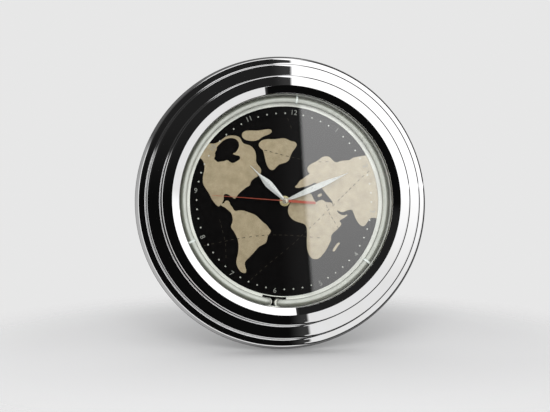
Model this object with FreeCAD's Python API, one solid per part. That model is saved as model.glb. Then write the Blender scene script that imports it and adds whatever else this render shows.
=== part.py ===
import FreeCAD, Part

import math
import os

# World map wall clock with a stepped mirror case and a lit glass tube round the dial.
# Every piece is drawn in the clock's own frame: x to the right and y up as seen by
# someone who looks at the dial, w out of the dial towards that person, w = 0 at the
# rear edge of the rim. place() then turns it to the exported frame: +Z up, dial
# towards -Y, origin on the wall plane at the centre of the hanging hole.
# All lengths are in millimetres and all clock angles run clockwise from twelve.

V = FreeCAD.Vector
AXIS = V(0, 0, 1)
FULL_TURN = 360.0
QUARTER_TURN = 90.0
EIGHTH_TURN = math.pi / 4
UPRIGHT_SHARE = 0.5

# Front bezel, from the opening outwards, then the rises from the rim forwards
OPENING_RADIUS = 135.1
CONE_WIDTH = 9.3
TOP_TREAD_WIDTH = 13.2
TOP_RISER_RUN = 1.3
MID_TREAD_WIDTH = 16.6
MID_RISER_RUN = 1.1
LOW_TREAD_WIDTH = 8.7
RIM_RUN = 4.7
RIM_RISE = 16.3
LOW_TREAD_RISE = 0.2
MID_RISE = 17.9
MID_TREAD_RISE = 0.4
TOP_RISE = 23.6
TOP_TREAD_RISE = 0.4
CONE_DROP = 5.1
LIP_DEPTH = 3.1
SHOULDER_ROUND = 2.4
FOOT_ROUND = 1.4
EDGE_ROUND = 0.7
CASE_WALL = 2.2
COLLAR_WALL = 2.0
COLLAR_DEPTH = 6.4
BOSS_COUNT = 6
BOSS_FIRST_ANGLE = 30.0
BOSS_RADIUS = 3.6

# Lens, gasket and reflector tray
GLASS_THICKNESS = 3.0
GLASS_SEAT = 3.6
GLASS_CLEARANCE = 0.4
GASKET_THICKNESS = 1.0
TRAY_DEPTH = 15.2
TRAY_FLOOR = 1.5
TRAY_WALL = 1.6
TRAY_BEAD_WIDTH = 1.0
TRAY_BEAD_HEIGHT = 0.6
TRAY_LAND = 1.1
SLOT_WIDTH = 2.8
SLOT_LENGTH = 31.0

# Glass tube, its clips, boots and leads
TUBE_RADIUS = 4.5
TUBE_WALL = 1.0
TUBE_TO_WALL = 1.1
TUBE_GAP = 7.0
TUBE_BEND = 5.5
TUBE_LEG = 19.0
CLIP_WALL = 0.9
CLIP_CLEARANCE = 0.03
CLIP_WIDTH = 2.4
CLIP_FOOT_WIDTH = 7.0
CLIP_ANGLES = {"top": 0.0, "right": 120.0, "left": 240.0}
BOOT_WALL = 1.7
BOOT_GRIP = 8.0
BOOT_END = 5.0
LEAD_RADIUS = 1.3
LEAD_BEND = 6.0

# Dial plate and the fixing of the movement
DIAL_THICKNESS = 1.5
DIAL_OVERLAP = 3.4
BUSH_RADIUS = 4.0
BUSH_HOLE_CLEARANCE = 0.15
BUSH_STAND = 3.6
CUSHION_THICKNESS = 1.0
CUSHION_RADIUS = 11.0
WASHER_THICKNESS = 0.5
WASHER_RADIUS = 6.6
NUT_HEIGHT = 2.2
NUT_FLATS = 10.4
NUT_SIDES = 6
NUT_CHAMFER = 0.5

# Arbors, all running in each other
RUNNING_CLEARANCE = 0.05
SECOND_RADIUS = 0.45
MINUTE_TUBE_RADIUS = 1.6
HOUR_PIPE_RADIUS = 2.55
PIVOT_RADIUS = 0.5
MOTION_ARBOR_RADIUS = 0.9

# Hands: lengths from the axis, half widths, stock and levels above the bush
HAND_STOCK = 0.4
HAND_RIDGE = 0.7
HAND_EYE_RADIUS = 3.6
HOUR_HAND_LENGTH = 63.0
HOUR_HAND_HALF_WIDTH = 4.1
MINUTE_HAND_LENGTH = 88.4
MINUTE_HAND_HALF_WIDTH = 3.4
SECOND_HAND_LENGTH = 93.3
SECOND_TAIL_LENGTH = 38.7
SECOND_TAIL_HALF_WIDTH = 1.65
NEEDLE_HALF_WIDTH = 0.45
SECOND_EYE_RADIUS = 2.4
HAND_GAP = 1.4
CAP_RADIUS = 3.8
CAP_HEIGHT = 2.2
CAP_SKIRT = 0.7
LEAF_STATION_SHARES = (0.035, 0.12, 0.24, 0.36, 0.44, 0.54, 0.63, 0.70, 0.77, 1.0)
LEAF_WIDTH_SHARES = (0.30, 0.42, 0.72, 0.97, 1.00, 0.80, 0.50, 0.26, 0.17, 0.06)
RIDGE_FULL_SHARE = 0.5
HOUR_HAND_ANGLE = 308.7
MINUTE_HAND_ANGLE = 59.7
SECOND_HAND_ANGLE = 267.5

# Movement housing
MOVEMENT_ABOVE = 27.0
MOVEMENT_BELOW = 29.0
MOVEMENT_DEPTH = 16.0
MOVEMENT_PLATE = 1.5
MOVEMENT_WALL = 1.2
MOVEMENT_CORNER = 3.0
BAY_TOP = 10.6
MIDDLE_PLATE = 0.7
MIDDLE_PLATE_GAP = 0.5

# Wheel train: tooth counts, modules and the levels above the movement's floor
SECOND_PINION_TEETH = 8
THIRD_WHEEL_TEETH = 64
THIRD_PINION_TEETH = 8
CENTRE_WHEEL_TEETH = 60
CENTRE_PINION_TEETH = 12
MOTION_WHEEL_TEETH = 36
MOTION_PINION_TEETH = 10
HOUR_WHEEL_TEETH = 40
FIFTH_PINION_TEETH = 8
SECOND_WHEEL_TEETH = 40
ROTOR_PINION_TEETH = 8
FIFTH_WHEEL_TEETH = 48
THIRD_DISTANCE = 7.2
MOTION_DISTANCE = 7.7
FIFTH_DISTANCE = 6.24
ROTOR_DISTANCE = 5.6
THIRD_BEARING = 270.0
MOTION_BEARING = 0.0
FIFTH_BEARING = 115.0
ROTOR_BEARING = 80.0
WHEEL_THICKNESS = 0.5
PINION_LENGTH = 1.3
ROTOR_LEVEL = 0.7
ROTOR_HEIGHT = 2.0
FIFTH_LEVEL = 3.4
SECOND_LEVEL = 4.7
MIDDLE_LEVEL = 6.0
THIRD_LEVEL = 7.3
CENTRE_LEVEL = 8.6
MOTION_LEVEL = 10.0
HOUR_LEVEL = 11.5
PIVOT_DEPTH = 0.9
ROTOR_RADIUS = 2.3
ADDENDUM_SHARE = 0.85
DEDENDUM_SHARE = 1.20
ROOT_HALF_SHARE = 0.23
TIP_HALF_SHARE = 0.10

# Setting knob
KNOB_RADIUS = 7.0
KNOB_HEIGHT = 3.2
KNOB_GAP = 0.6
KNOB_NOTCHES = 20
KNOB_NOTCH_SHARE = 0.07

# Motor and circuit
STATOR_THICKNESS = 0.8
STATOR_AIR_GAP = 0.4
STATOR_LIMB = 3.0
STATOR_BELOW = 5.0
STATOR_REACH = 13.3
STATOR_RISE = 18.0
COIL_RADIUS = 2.25
COIL_END_GAP = 0.6
BOARD_THICKNESS = 0.8
BOARD_WIDTH = 13.0
BOARD_HEIGHT = 32.0
BOARD_INSET = 1.0
CRYSTAL_RADIUS = 1.0
CRYSTAL_LENGTH = 6.0

# Battery and its contacts
BATTERY_RADIUS = 7.15
BATTERY_LENGTH = 49.2
BATTERY_NUB_RADIUS = 2.6
BATTERY_NUB_LENGTH = 1.0
BATTERY_CHAMFER = 0.8
BATTERY_GAP = 0.3
CONTACT_ROOM = 1.2
CONTACT_THICKNESS = 0.4
CONTACT_WIDTH = 8.0
CONTACT_FOOT = 4.0

# Rear cover
COVER_WALL = 2.4
COVER_RECESS = 0.6
COVER_GAP = 0.4
BACK_DEPTH = 12.0
DISH_STEP = 14.9
SUPPORT_INSET = 2.2
SUPPORT_WALL = 2.5
WELL_MARGIN = 3.0
WELL_WALL = 2.0
RIB_THICKNESS = 1.6
RIB_HEIGHT = 7.0
RIB_ANGLES = (0.0, 36.0, 72.0, 108.0, 252.0, 288.0, 324.0)
HANG_INSET = 26.5
HANG_HEAD_RADIUS = 4.75
HANG_SLOT_RADIUS = 2.6
HANG_SLOT_RISE = 9.5
VENT_COUNT = 7
VENT_LENGTH = 26.0
VENT_WIDTH = 2.4
VENT_PITCH = 6.0
VENT_END_SHARE = 0.49
LEAD_WINDOW_HALF_WIDTH = 14.0
LEAD_WINDOW_HEIGHT = 16.0
OVERRUN = 5.0

# Cover screws
SCREW_RADIUS = 1.45
SCREW_PILOT_CLEARANCE = 0.05
SCREW_HOLE_CLEARANCE = 0.3
SCREW_LENGTH = 13.0
SCREW_HEAD_RADIUS = 3.2
SCREW_HEAD_HEIGHT = 1.9
SCREW_CROSS_WIDTH = 0.9
SCREW_CROSS_DEPTH = 1.0
SCREW_CROSS_SHARE = 0.6
PILOT_EXTRA = 1.5

# Tube supply on the cover's floor
INVERTER_BOARD_HALF_WIDTH = 32.0
INVERTER_BOARD_HEIGHT = 38.0
INVERTER_BOARD_THICKNESS = 1.6
BOARD_TO_SUPPORT = 15.8
POST_HEIGHT = 4.0
POST_RADIUS = 3.0
POST_INSET = 4.5
STAKE_RADIUS = 1.2
STAKE_CLEARANCE = 0.1
STAKE_RISE = 1.0
CORE_WIDTH = 20.0
CORE_HEIGHT = 22.0
CORE_DEPTH = 13.0
CORE_LIMB = 4.0
CORE_LEG = 5.0
WINDING_WALL = 2.2
CORE_OFFSET = 14.0
CAPACITOR_RADIUS = 4.0
CAPACITOR_HEIGHT = 11.5
CAPACITOR_OFFSET = 18.0
CAPACITOR_ROUND = 0.8
SOCKET_WIDTH = 24.0
SOCKET_HEIGHT = 8.0
SOCKET_DEPTH = 8.0

# Supply inlet and switch in the dish's side wall
INLET_ANGLE = 168.0
JACK_WIDTH = 9.0
JACK_LENGTH = 13.0
JACK_BORE_RADIUS = 2.75
JACK_BORE_DEPTH = 9.5
JACK_PIN_RADIUS = 1.0
JACK_MOUTH_RADIUS = 4.0
SWITCH_ANGLE = 192.0
SWITCH_WIDTH = 16.0
SWITCH_DEPTH = 7.0
SWITCH_LENGTH = 8.0
SWITCH_TRAVEL = 4.0
SLIDER_WIDTH = 3.6
SLIDER_HEIGHT = 3.0
SLIDER_STAND = 3.0
SLIDER_CLEARANCE = 0.3
SLIDER_FOOT = 2.0

# Levels and radii that follow from the sizes above
PROFILE_WIDTHS = (RIM_RUN, LOW_TREAD_WIDTH, MID_RISER_RUN, MID_TREAD_WIDTH,
                  TOP_RISER_RUN, TOP_TREAD_WIDTH, CONE_WIDTH)
PROFILE_RISES = (RIM_RISE, LOW_TREAD_RISE, MID_RISE, MID_TREAD_RISE,
                 TOP_RISE, TOP_TREAD_RISE, -CONE_DROP)
RIM_RADIUS = OPENING_RADIUS + sum(PROFILE_WIDTHS)
LIP_LEVEL = sum(PROFILE_RISES)
GLASS_FRONT = LIP_LEVEL - LIP_DEPTH
GLASS_REAR = GLASS_FRONT - GLASS_THICKNESS
GLASS_RADIUS = OPENING_RADIUS + GLASS_SEAT
COLLAR_RADIUS = GLASS_RADIUS + GLASS_CLEARANCE
TRAY_TOP = GLASS_REAR - GASKET_THICKNESS
TRAY_FRONT = TRAY_TOP - TRAY_DEPTH
DIAL_FRONT = TRAY_FRONT - TRAY_FLOOR
DIAL_REAR = DIAL_FRONT - DIAL_THICKNESS
TRAY_RADIUS = OPENING_RADIUS + TRAY_WALL
TUBE_RING_RADIUS = OPENING_RADIUS - TUBE_TO_WALL - TUBE_RADIUS
TRAY_INNER_RADIUS = TUBE_RING_RADIUS - TUBE_RADIUS - SLOT_WIDTH - TRAY_LAND
DIAL_RADIUS = TRAY_INNER_RADIUS + DIAL_OVERLAP
TUBE_LEVEL = TRAY_FRONT + CLIP_WALL + TUBE_RADIUS
LEG_OFFSET = TUBE_GAP / 2 + TUBE_RADIUS
LEG_REAR = TUBE_LEVEL - TUBE_LEG
MOVEMENT_FRONT = DIAL_REAR - CUSHION_THICKNESS
MOVEMENT_REAR = MOVEMENT_FRONT - MOVEMENT_DEPTH
PLATE_REAR = MOVEMENT_FRONT - MOVEMENT_PLATE
FLOOR_LEVEL = MOVEMENT_REAR + MOVEMENT_PLATE
BUSH_TOP = DIAL_FRONT + BUSH_STAND
HOUR_HAND_LEVEL = BUSH_TOP + HAND_STOCK
MINUTE_HAND_LEVEL = HOUR_HAND_LEVEL + HAND_STOCK + HAND_GAP
SECOND_HAND_LEVEL = MINUTE_HAND_LEVEL + HAND_STOCK + HAND_GAP
DISH_RADIUS = OPENING_RADIUS + DISH_STEP
DISH_INNER_RADIUS = DISH_RADIUS - COVER_WALL
SUPPORT_RADIUS = DIAL_RADIUS - SUPPORT_INSET
SUPPORT_INNER_RADIUS = SUPPORT_RADIUS - SUPPORT_WALL
HANG_HEIGHT = DIAL_RADIUS - HANG_INSET
MOVEMENT_HALF_WIDTH = BATTERY_LENGTH / 2 + BATTERY_NUB_LENGTH + CONTACT_ROOM + MOVEMENT_WALL
WELL_HALF_WIDTH = MOVEMENT_HALF_WIDTH + WELL_MARGIN
VENT_OFFSET = (WELL_HALF_WIDTH + WELL_WALL + SUPPORT_INNER_RADIUS * math.cos(EIGHTH_TURN)) / 2
INVERTER_BOARD_LOW = SUPPORT_INNER_RADIUS - BOARD_TO_SUPPORT
WALL_LEVEL = -BACK_DEPTH
COVER_FLOOR = WALL_LEVEL + COVER_WALL
FLANGE_TOP = COVER_RECESS + COVER_WALL
INLET_LEVEL = COVER_FLOOR + JACK_WIDTH / 2
BOARD_LEVEL = COVER_FLOOR + POST_HEIGHT
BOARD_TOP = BOARD_LEVEL + INVERTER_BOARD_THICKNESS


def at_clock(angle, radius, level=0.0):
    """Give the point at a clock angle, a radius and a level."""
    turn = math.radians(angle)
    return V(radius * math.sin(turn), radius * math.cos(turn), level)


def turn_to_clock(shape, angle):
    """Turn a shape drawn at twelve o'clock to a clock angle."""
    turned = shape.copy()
    turned.rotate(V(0, 0, 0), AXIS, -angle)
    return turned


def place(shape):
    """Turn a shape from the clock's own frame to the exported frame."""
    placed = shape.copy()
    placed.rotate(V(0, 0, 0), V(1, 0, 0), QUARTER_TURN)
    placed.translate(V(0, WALL_LEVEL, -HANG_HEIGHT))
    return placed


def disc(radius, low, high, centre=(0, 0)):
    """Make an upright cylinder between two levels."""
    return Part.makeCylinder(radius, high - low, V(centre[0], centre[1], low))


def ring(inner, outer, low, high, centre=(0, 0)):
    """Make a flat ring between two levels."""
    return disc(outer, low, high, centre).cut(disc(inner, low, high, centre))


def block(left, right, bottom, top, low, high):
    """Make a box from its limits in x, y and w."""
    return Part.makeBox(right - left, top - bottom, high - low, V(left, bottom, low))


def rounded_block(left, right, bottom, top, low, high, radius):
    """Make a box whose four upright edges are rounded."""
    box = block(left, right, bottom, top, low, high)
    upright = [edge for edge in box.Edges if abs(edge.tangentAt(edge.FirstParameter).z) > UPRIGHT_SHARE]
    return box.makeFillet(radius, upright)


def fuse_all(shapes):
    """Join shapes into one solid without leftover seams."""
    joined = shapes[0].fuse(shapes[1:]) if len(shapes) > 1 else shapes[0]
    return joined.removeSplitter()


def rounded_wire(corners):
    """Make a closed wire in the r-w plane from (r, w, rounding) corners."""
    joints = []
    count = len(corners)
    for index in range(count):
        corner = V(corners[index][0], 0, corners[index][1])
        before = V(corners[index - 1][0], 0, corners[index - 1][1]) - corner
        after = V(corners[(index + 1) % count][0], 0, corners[(index + 1) % count][1]) - corner
        rounding = corners[index][2]
        if rounding == 0:
            joints.append((corner, None, corner))
            continue
        before.normalize()
        after.normalize()
        half = before.getAngle(after) / 2
        reach = rounding / math.tan(half)
        middle = (before + after).normalize() * (rounding / math.sin(half) - rounding)
        joints.append((corner + before * reach, corner + middle, corner + after * reach))
    edges = []
    for index in range(count):
        start, middle, end = joints[index]
        if middle is not None:
            edges.append(Part.Arc(start, middle, end).toShape())
        edges.append(Part.LineSegment(end, joints[(index + 1) % count][0]).toShape())
    return Part.Wire(edges)


def revolved(corners, angle=FULL_TURN):
    """Turn a closed r-w profile round the clock's axis."""
    return Part.Face(rounded_wire(corners)).revolve(V(0, 0, 0), AXIS, angle)


def sector(inner, outer, low, high, middle, half_angle):
    """Make a piece of a flat ring about a clock angle."""
    corners = [(inner, low, 0), (outer, low, 0), (outer, high, 0), (inner, high, 0)]
    piece = revolved(corners, 2 * half_angle)
    piece.rotate(V(0, 0, 0), AXIS, QUARTER_TURN - middle - half_angle)
    return piece


def arc_degrees(length, radius):
    """Give the angle that a length takes up on a circle."""
    return math.degrees(length / radius)


def bezel_outline():
    """List the outer surface's corners from the rim's rear edge to the lip."""
    radius = RIM_RADIUS
    level = 0.0
    points = [(radius, level)]
    for width, rise in zip(PROFILE_WIDTHS, PROFILE_RISES):
        radius -= width
        level += rise
        points.append((radius, level))
    return points


def parallel_outline(points, distance):
    """Offset an open outline to its inner side with mitred corners."""
    normals = []
    for first, second in zip(points, points[1:]):
        run = (second[0] - first[0], second[1] - first[1])
        size = math.hypot(*run)
        normals.append((-run[1] / size, run[0] / size))
    inner = []
    for index in range(1, len(points) - 1):
        one, two = normals[index - 1], normals[index]
        spread = 1 + one[0] * two[0] + one[1] * two[1]
        inner.append((points[index][0] + distance * (one[0] + two[0]) / spread,
                      points[index][1] + distance * (one[1] + two[1]) / spread))
    first_end = (points[0][0] + distance * normals[0][0], points[0][1] + distance * normals[0][1])
    last_end = (points[-1][0] + distance * normals[-1][0], points[-1][1] + distance * normals[-1][1])
    return [first_end] + inner + [last_end]


def level_on(first, second, radius):
    """Give the level at a radius on the line through two r-w points."""
    share = (radius - first[0]) / (second[0] - first[0])
    return first[1] + share * (second[1] - first[1])


def radius_on(first, second, level):
    """Give the radius at a level on the line through two r-w points."""
    share = (level - first[1]) / (second[1] - first[1])
    return first[0] + share * (second[0] - first[0])


def boss_circle_radius():
    """Give the radius of the screw circle, under the middle of the middle tread."""
    points = bezel_outline()
    return (points[3][0] + points[4][0]) / 2


def boss_angles():
    """List the clock angles of the case's screw bosses."""
    return [BOSS_FIRST_ANGLE + FULL_TURN * index / BOSS_COUNT for index in range(BOSS_COUNT)]


def front_bezel():
    """Make the stepped case front with its lens collar and screw bosses."""
    outer = bezel_outline()
    inner = parallel_outline(outer, CASE_WALL)
    collar_outer = COLLAR_RADIUS + COLLAR_WALL
    roundings = [EDGE_ROUND, SHOULDER_ROUND, FOOT_ROUND, SHOULDER_ROUND, FOOT_ROUND,
                 SHOULDER_ROUND, EDGE_ROUND, EDGE_ROUND]
    corners = [(point[0], point[1], rounding) for point, rounding in zip(outer, roundings)]
    corners.append((OPENING_RADIUS, GLASS_FRONT, 0))
    corners.append((COLLAR_RADIUS, GLASS_FRONT, 0))
    corners.append((COLLAR_RADIUS, GLASS_FRONT - COLLAR_DEPTH, 0))
    corners.append((collar_outer, GLASS_FRONT - COLLAR_DEPTH, 0))
    corners.append((collar_outer, level_on(inner[-2], inner[-1], collar_outer), 0))
    corners += [(point[0], point[1], 0) for point in reversed(inner[1:-1])]
    corners.append((radius_on(inner[0], inner[1], 0), 0, 0))
    shell = revolved(corners)
    circle = boss_circle_radius()
    boss_top = level_on(outer[3], outer[4], circle) - CASE_WALL / 2
    pilot = SCREW_RADIUS + SCREW_PILOT_CLEARANCE
    pilot_top = COVER_RECESS + SCREW_LENGTH + PILOT_EXTRA
    parts = [shell]
    for angle in boss_angles():
        spot = at_clock(angle, circle)
        parts.append(disc(BOSS_RADIUS, FLANGE_TOP, boss_top, (spot.x, spot.y)))
    body = fuse_all(parts)
    for angle in boss_angles():
        spot = at_clock(angle, circle)
        body = body.cut(disc(pilot, FLANGE_TOP - OVERRUN, pilot_top, (spot.x, spot.y)))
    return body


def glass_lens():
    """Make the flat glass that lies behind the bezel's lip."""
    lens = disc(GLASS_RADIUS, GLASS_REAR, GLASS_FRONT)
    return lens.makeChamfer(GLASS_CLEARANCE, lens.Edges)


def glass_gasket():
    """Make the soft ring between the glass and the reflector tray."""
    return ring(OPENING_RADIUS, GLASS_RADIUS, TRAY_TOP, GLASS_REAR)


def reflector_tray():
    """Make the tray that holds the tube, slotted at six o'clock."""
    corners = [
        (TRAY_INNER_RADIUS, DIAL_FRONT, 0),
        (TRAY_RADIUS, DIAL_FRONT, 0),
        (TRAY_RADIUS, TRAY_TOP - TRAY_WALL, 0),
        (GLASS_RADIUS, TRAY_TOP - TRAY_WALL, 0),
        (GLASS_RADIUS, TRAY_TOP, 0),
        (OPENING_RADIUS, TRAY_TOP, 0),
        (OPENING_RADIUS, TRAY_FRONT, EDGE_ROUND),
        (TRAY_INNER_RADIUS + TRAY_BEAD_WIDTH, TRAY_FRONT, 0),
        (TRAY_INNER_RADIUS + TRAY_BEAD_WIDTH, TRAY_FRONT + TRAY_BEAD_HEIGHT, 0),
        (TRAY_INNER_RADIUS, TRAY_FRONT + TRAY_BEAD_HEIGHT, 0),
    ]
    tray = revolved(corners)
    low = DIAL_FRONT - OVERRUN
    high = TRAY_FRONT + OVERRUN
    edge = TUBE_RING_RADIUS - TUBE_RADIUS
    leg_reach = LEG_OFFSET + TUBE_RADIUS + BUSH_HOLE_CLEARANCE
    leg_hole = sector(edge - BUSH_HOLE_CLEARANCE, TUBE_RING_RADIUS + TUBE_RADIUS + BUSH_HOLE_CLEARANCE,
                      low, high, 180, arc_degrees(leg_reach, TUBE_RING_RADIUS))
    slot = sector(edge - SLOT_WIDTH, edge, low, high, 180, arc_degrees(SLOT_LENGTH / 2, edge))
    return tray.cut(leg_hole).cut(slot)


def bent_ring(radius, leg_rear):
    """Make the tube's line with a given section radius, its two ends bent to the rear."""
    start = 180 + arc_degrees(LEG_OFFSET + TUBE_BEND, TUBE_RING_RADIUS)
    end = 180 - arc_degrees(LEG_OFFSET + TUBE_BEND, TUBE_RING_RADIUS)
    first = at_clock(start, TUBE_RING_RADIUS, TUBE_LEVEL)
    section = Part.Face(Part.Wire(Part.makeCircle(radius, first, at_clock(start + QUARTER_TURN, TUBE_RING_RADIUS))))
    pieces = [section.revolve(V(0, 0, 0), AXIS, start - end - FULL_TURN)]
    for angle, side in ((start, 1), (end, -1)):
        centre = at_clock(angle, TUBE_RING_RADIUS, TUBE_LEVEL)
        along = at_clock(angle + QUARTER_TURN, TUBE_RING_RADIUS)
        outwards = at_clock(angle, TUBE_RING_RADIUS)
        face = Part.Face(Part.Wire(Part.makeCircle(radius, centre, along)))
        pivot = centre - V(0, 0, TUBE_BEND)
        bend = face.revolve(pivot, outwards, -side * QUARTER_TURN)
        foot = centre - along.normalize() * (side * TUBE_BEND) - V(0, 0, TUBE_BEND)
        pieces.append(bend)
        pieces.append(disc(radius, leg_rear, foot.z, (foot.x, foot.y)))
    return fuse_all(pieces)


def leg_spots():
    """List where the tube's two legs stand, left one first."""
    spots = []
    for side in (1, -1):
        angle = 180 + side * arc_degrees(LEG_OFFSET + TUBE_BEND, TUBE_RING_RADIUS)
        centre = at_clock(angle, TUBE_RING_RADIUS)
        along = at_clock(angle + QUARTER_TURN, TUBE_RING_RADIUS).normalize()
        spots.append(centre - along * (side * TUBE_BEND))
    return spots


def neon_tube():
    """Make the hollow glass tube."""
    outside = bent_ring(TUBE_RADIUS, LEG_REAR)
    inside = bent_ring(TUBE_RADIUS - TUBE_WALL, LEG_REAR)
    return outside.cut(inside)


def tube_clip(angle):
    """Make one clear band that holds the tube on the tray."""
    centre = V(0, TUBE_RING_RADIUS, TUBE_LEVEL)
    start = centre - V(CLIP_WIDTH / 2, 0, 0)
    band = Part.makeCylinder(TUBE_RADIUS + CLIP_WALL, CLIP_WIDTH, start, V(1, 0, 0))
    foot = block(-CLIP_WIDTH / 2, CLIP_WIDTH / 2, TUBE_RING_RADIUS - CLIP_FOOT_WIDTH / 2,
                 TUBE_RING_RADIUS + CLIP_FOOT_WIDTH / 2, TRAY_FRONT, TRAY_FRONT + CLIP_WALL)
    clip = band.fuse(foot)
    tube = Part.makeTorus(TUBE_RING_RADIUS, TUBE_RADIUS + CLIP_CLEARANCE, V(0, 0, TUBE_LEVEL))
    near = block(-OVERRUN, OVERRUN, 0, RIM_RADIUS, TRAY_FRONT, GLASS_REAR)
    clip = clip.cut(tube.common(near)).removeSplitter()
    return turn_to_clock(clip, angle)


def electrode_boot(spot):
    """Make the rubber boot on one leg of the tube."""
    centre = (spot.x, spot.y)
    boot = disc(TUBE_RADIUS + BOOT_WALL, LEG_REAR - BOOT_END, LEG_REAR + BOOT_GRIP, centre)
    boot = boot.cut(disc(TUBE_RADIUS, LEG_REAR, LEG_REAR + BOOT_GRIP + OVERRUN, centre))
    return boot.cut(disc(LEAD_RADIUS, LEG_REAR - BOOT_END - OVERRUN, LEG_REAR, centre))


def lead_level():
    """Give the level at which the tube's leads run to their socket."""
    return BOARD_TOP + SOCKET_DEPTH / 2


def tube_lead(spot):
    """Make one lead from a boot to the supply's socket."""
    level = lead_level()
    top = V(spot.x, spot.y, LEG_REAR)
    bend_top = V(spot.x, spot.y, level + LEAD_BEND)
    bend_end = V(spot.x, spot.y + LEAD_BEND, level)
    slant = math.sin(EIGHTH_TURN) * LEAD_BEND
    bend_middle = V(spot.x, spot.y + LEAD_BEND - slant, level + LEAD_BEND - slant)
    end = V(spot.x, -INVERTER_BOARD_LOW, level)
    path = Part.Wire([
        Part.LineSegment(top, bend_top).toShape(),
        Part.Arc(bend_top, bend_middle, bend_end).toShape(),
        Part.LineSegment(bend_end, end).toShape(),
    ])
    section = Part.Wire(Part.makeCircle(LEAD_RADIUS, top, AXIS))
    return path.makePipeShell([section], True, False)


def dial_plate():
    """Make the dial's disc with its centre hole."""
    return ring(BUSH_RADIUS + BUSH_HOLE_CLEARANCE, DIAL_RADIUS, DIAL_REAR, DIAL_FRONT)


def threaded_bush():
    """Make the brass bush that carries the movement in the dial."""
    return ring(HOUR_PIPE_RADIUS + RUNNING_CLEARANCE, BUSH_RADIUS, PLATE_REAR, BUSH_TOP)


def bush_cushion():
    """Make the rubber ring between the movement and the dial."""
    return ring(BUSH_RADIUS + BUSH_HOLE_CLEARANCE, CUSHION_RADIUS, MOVEMENT_FRONT, DIAL_REAR)


def dial_washer():
    """Make the thin washer under the nut."""
    return ring(BUSH_RADIUS + BUSH_HOLE_CLEARANCE, WASHER_RADIUS, DIAL_FRONT, DIAL_FRONT + WASHER_THICKNESS)


def dial_nut():
    """Make the brass nut with its turned corners."""
    low = DIAL_FRONT + WASHER_THICKNESS
    high = low + NUT_HEIGHT
    pitch = FULL_TURN / NUT_SIDES
    reach = NUT_FLATS / 2 / math.cos(math.radians(pitch / 2))
    corners = [at_clock(pitch * index, reach, low) for index in range(NUT_SIDES)]
    hexagon = Part.Face(Part.makePolygon(corners + [corners[0]])).extrude(V(0, 0, high - low))
    turned = disc(reach, low, high)
    turned = turned.makeChamfer(NUT_CHAMFER, [max(turned.Edges, key=lambda edge: edge.CenterOfMass.z)])
    return hexagon.common(turned).cut(disc(BUSH_RADIUS, low - OVERRUN, high + OVERRUN))


def leaf_blade(length, half_width, level):
    """Make a leaf hand's blade at twelve o'clock with a raised middle line."""
    wires = []
    for station, share in zip(LEAF_STATION_SHARES, LEAF_WIDTH_SHARES):
        half = half_width * share
        ridge = HAND_STOCK + (HAND_RIDGE - HAND_STOCK) * min(share / RIDGE_FULL_SHARE, 1)
        along = length * station
        corners = [
            V(-half, along, level),
            V(half, along, level),
            V(half, along, level + HAND_STOCK / 2),
            V(0, along, level + ridge),
            V(-half, along, level + HAND_STOCK / 2),
        ]
        wires.append(Part.makePolygon(corners + [corners[0]]))
    return Part.makeLoft(wires, True, True)


def hour_hand():
    """Make the hour hand, pressed on the hour pipe."""
    level = HOUR_HAND_LEVEL
    blade = leaf_blade(HOUR_HAND_LENGTH, HOUR_HAND_HALF_WIDTH, level)
    eye = disc(HAND_EYE_RADIUS, level, level + HAND_STOCK)
    bore = disc(HOUR_PIPE_RADIUS, level - OVERRUN, level + OVERRUN)
    return turn_to_clock(fuse_all([blade, eye]).cut(bore), HOUR_HAND_ANGLE)


def minute_hand():
    """Make the minute hand, pressed on the minute tube."""
    level = MINUTE_HAND_LEVEL
    blade = leaf_blade(MINUTE_HAND_LENGTH, MINUTE_HAND_HALF_WIDTH, level)
    eye = disc(HAND_EYE_RADIUS, level, level + HAND_STOCK)
    bore = disc(MINUTE_TUBE_RADIUS, level - OVERRUN, level + OVERRUN)
    return turn_to_clock(fuse_all([blade, eye]).cut(bore), MINUTE_HAND_ANGLE)


def second_hand():
    """Make the straight second hand with its broad tail."""
    low = SECOND_HAND_LEVEL
    outline = [
        V(-NEEDLE_HALF_WIDTH, 0, low),
        V(-NEEDLE_HALF_WIDTH / 2, SECOND_HAND_LENGTH, low),
        V(NEEDLE_HALF_WIDTH / 2, SECOND_HAND_LENGTH, low),
        V(NEEDLE_HALF_WIDTH, 0, low),
    ]
    needle = Part.Face(Part.makePolygon(outline + [outline[0]])).extrude(V(0, 0, HAND_STOCK))
    tail = block(-SECOND_TAIL_HALF_WIDTH, SECOND_TAIL_HALF_WIDTH, -SECOND_TAIL_LENGTH, 0,
                 low, low + HAND_STOCK)
    eye = disc(SECOND_EYE_RADIUS, low, low + HAND_STOCK)
    bore = disc(SECOND_RADIUS, low - OVERRUN, low + OVERRUN)
    return turn_to_clock(fuse_all([needle, tail, eye]).cut(bore), SECOND_HAND_ANGLE)


def centre_cap():
    """Make the domed cap on the second hand's eye."""
    low = SECOND_HAND_LEVEL + HAND_STOCK
    dome = CAP_HEIGHT - CAP_SKIRT
    ball = (CAP_RADIUS ** 2 + dome ** 2) / (2 * dome)
    skirt = disc(CAP_RADIUS, low, low + CAP_HEIGHT)
    sphere = Part.makeSphere(ball, V(0, 0, low + CAP_HEIGHT - ball))
    return skirt.common(sphere)


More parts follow.
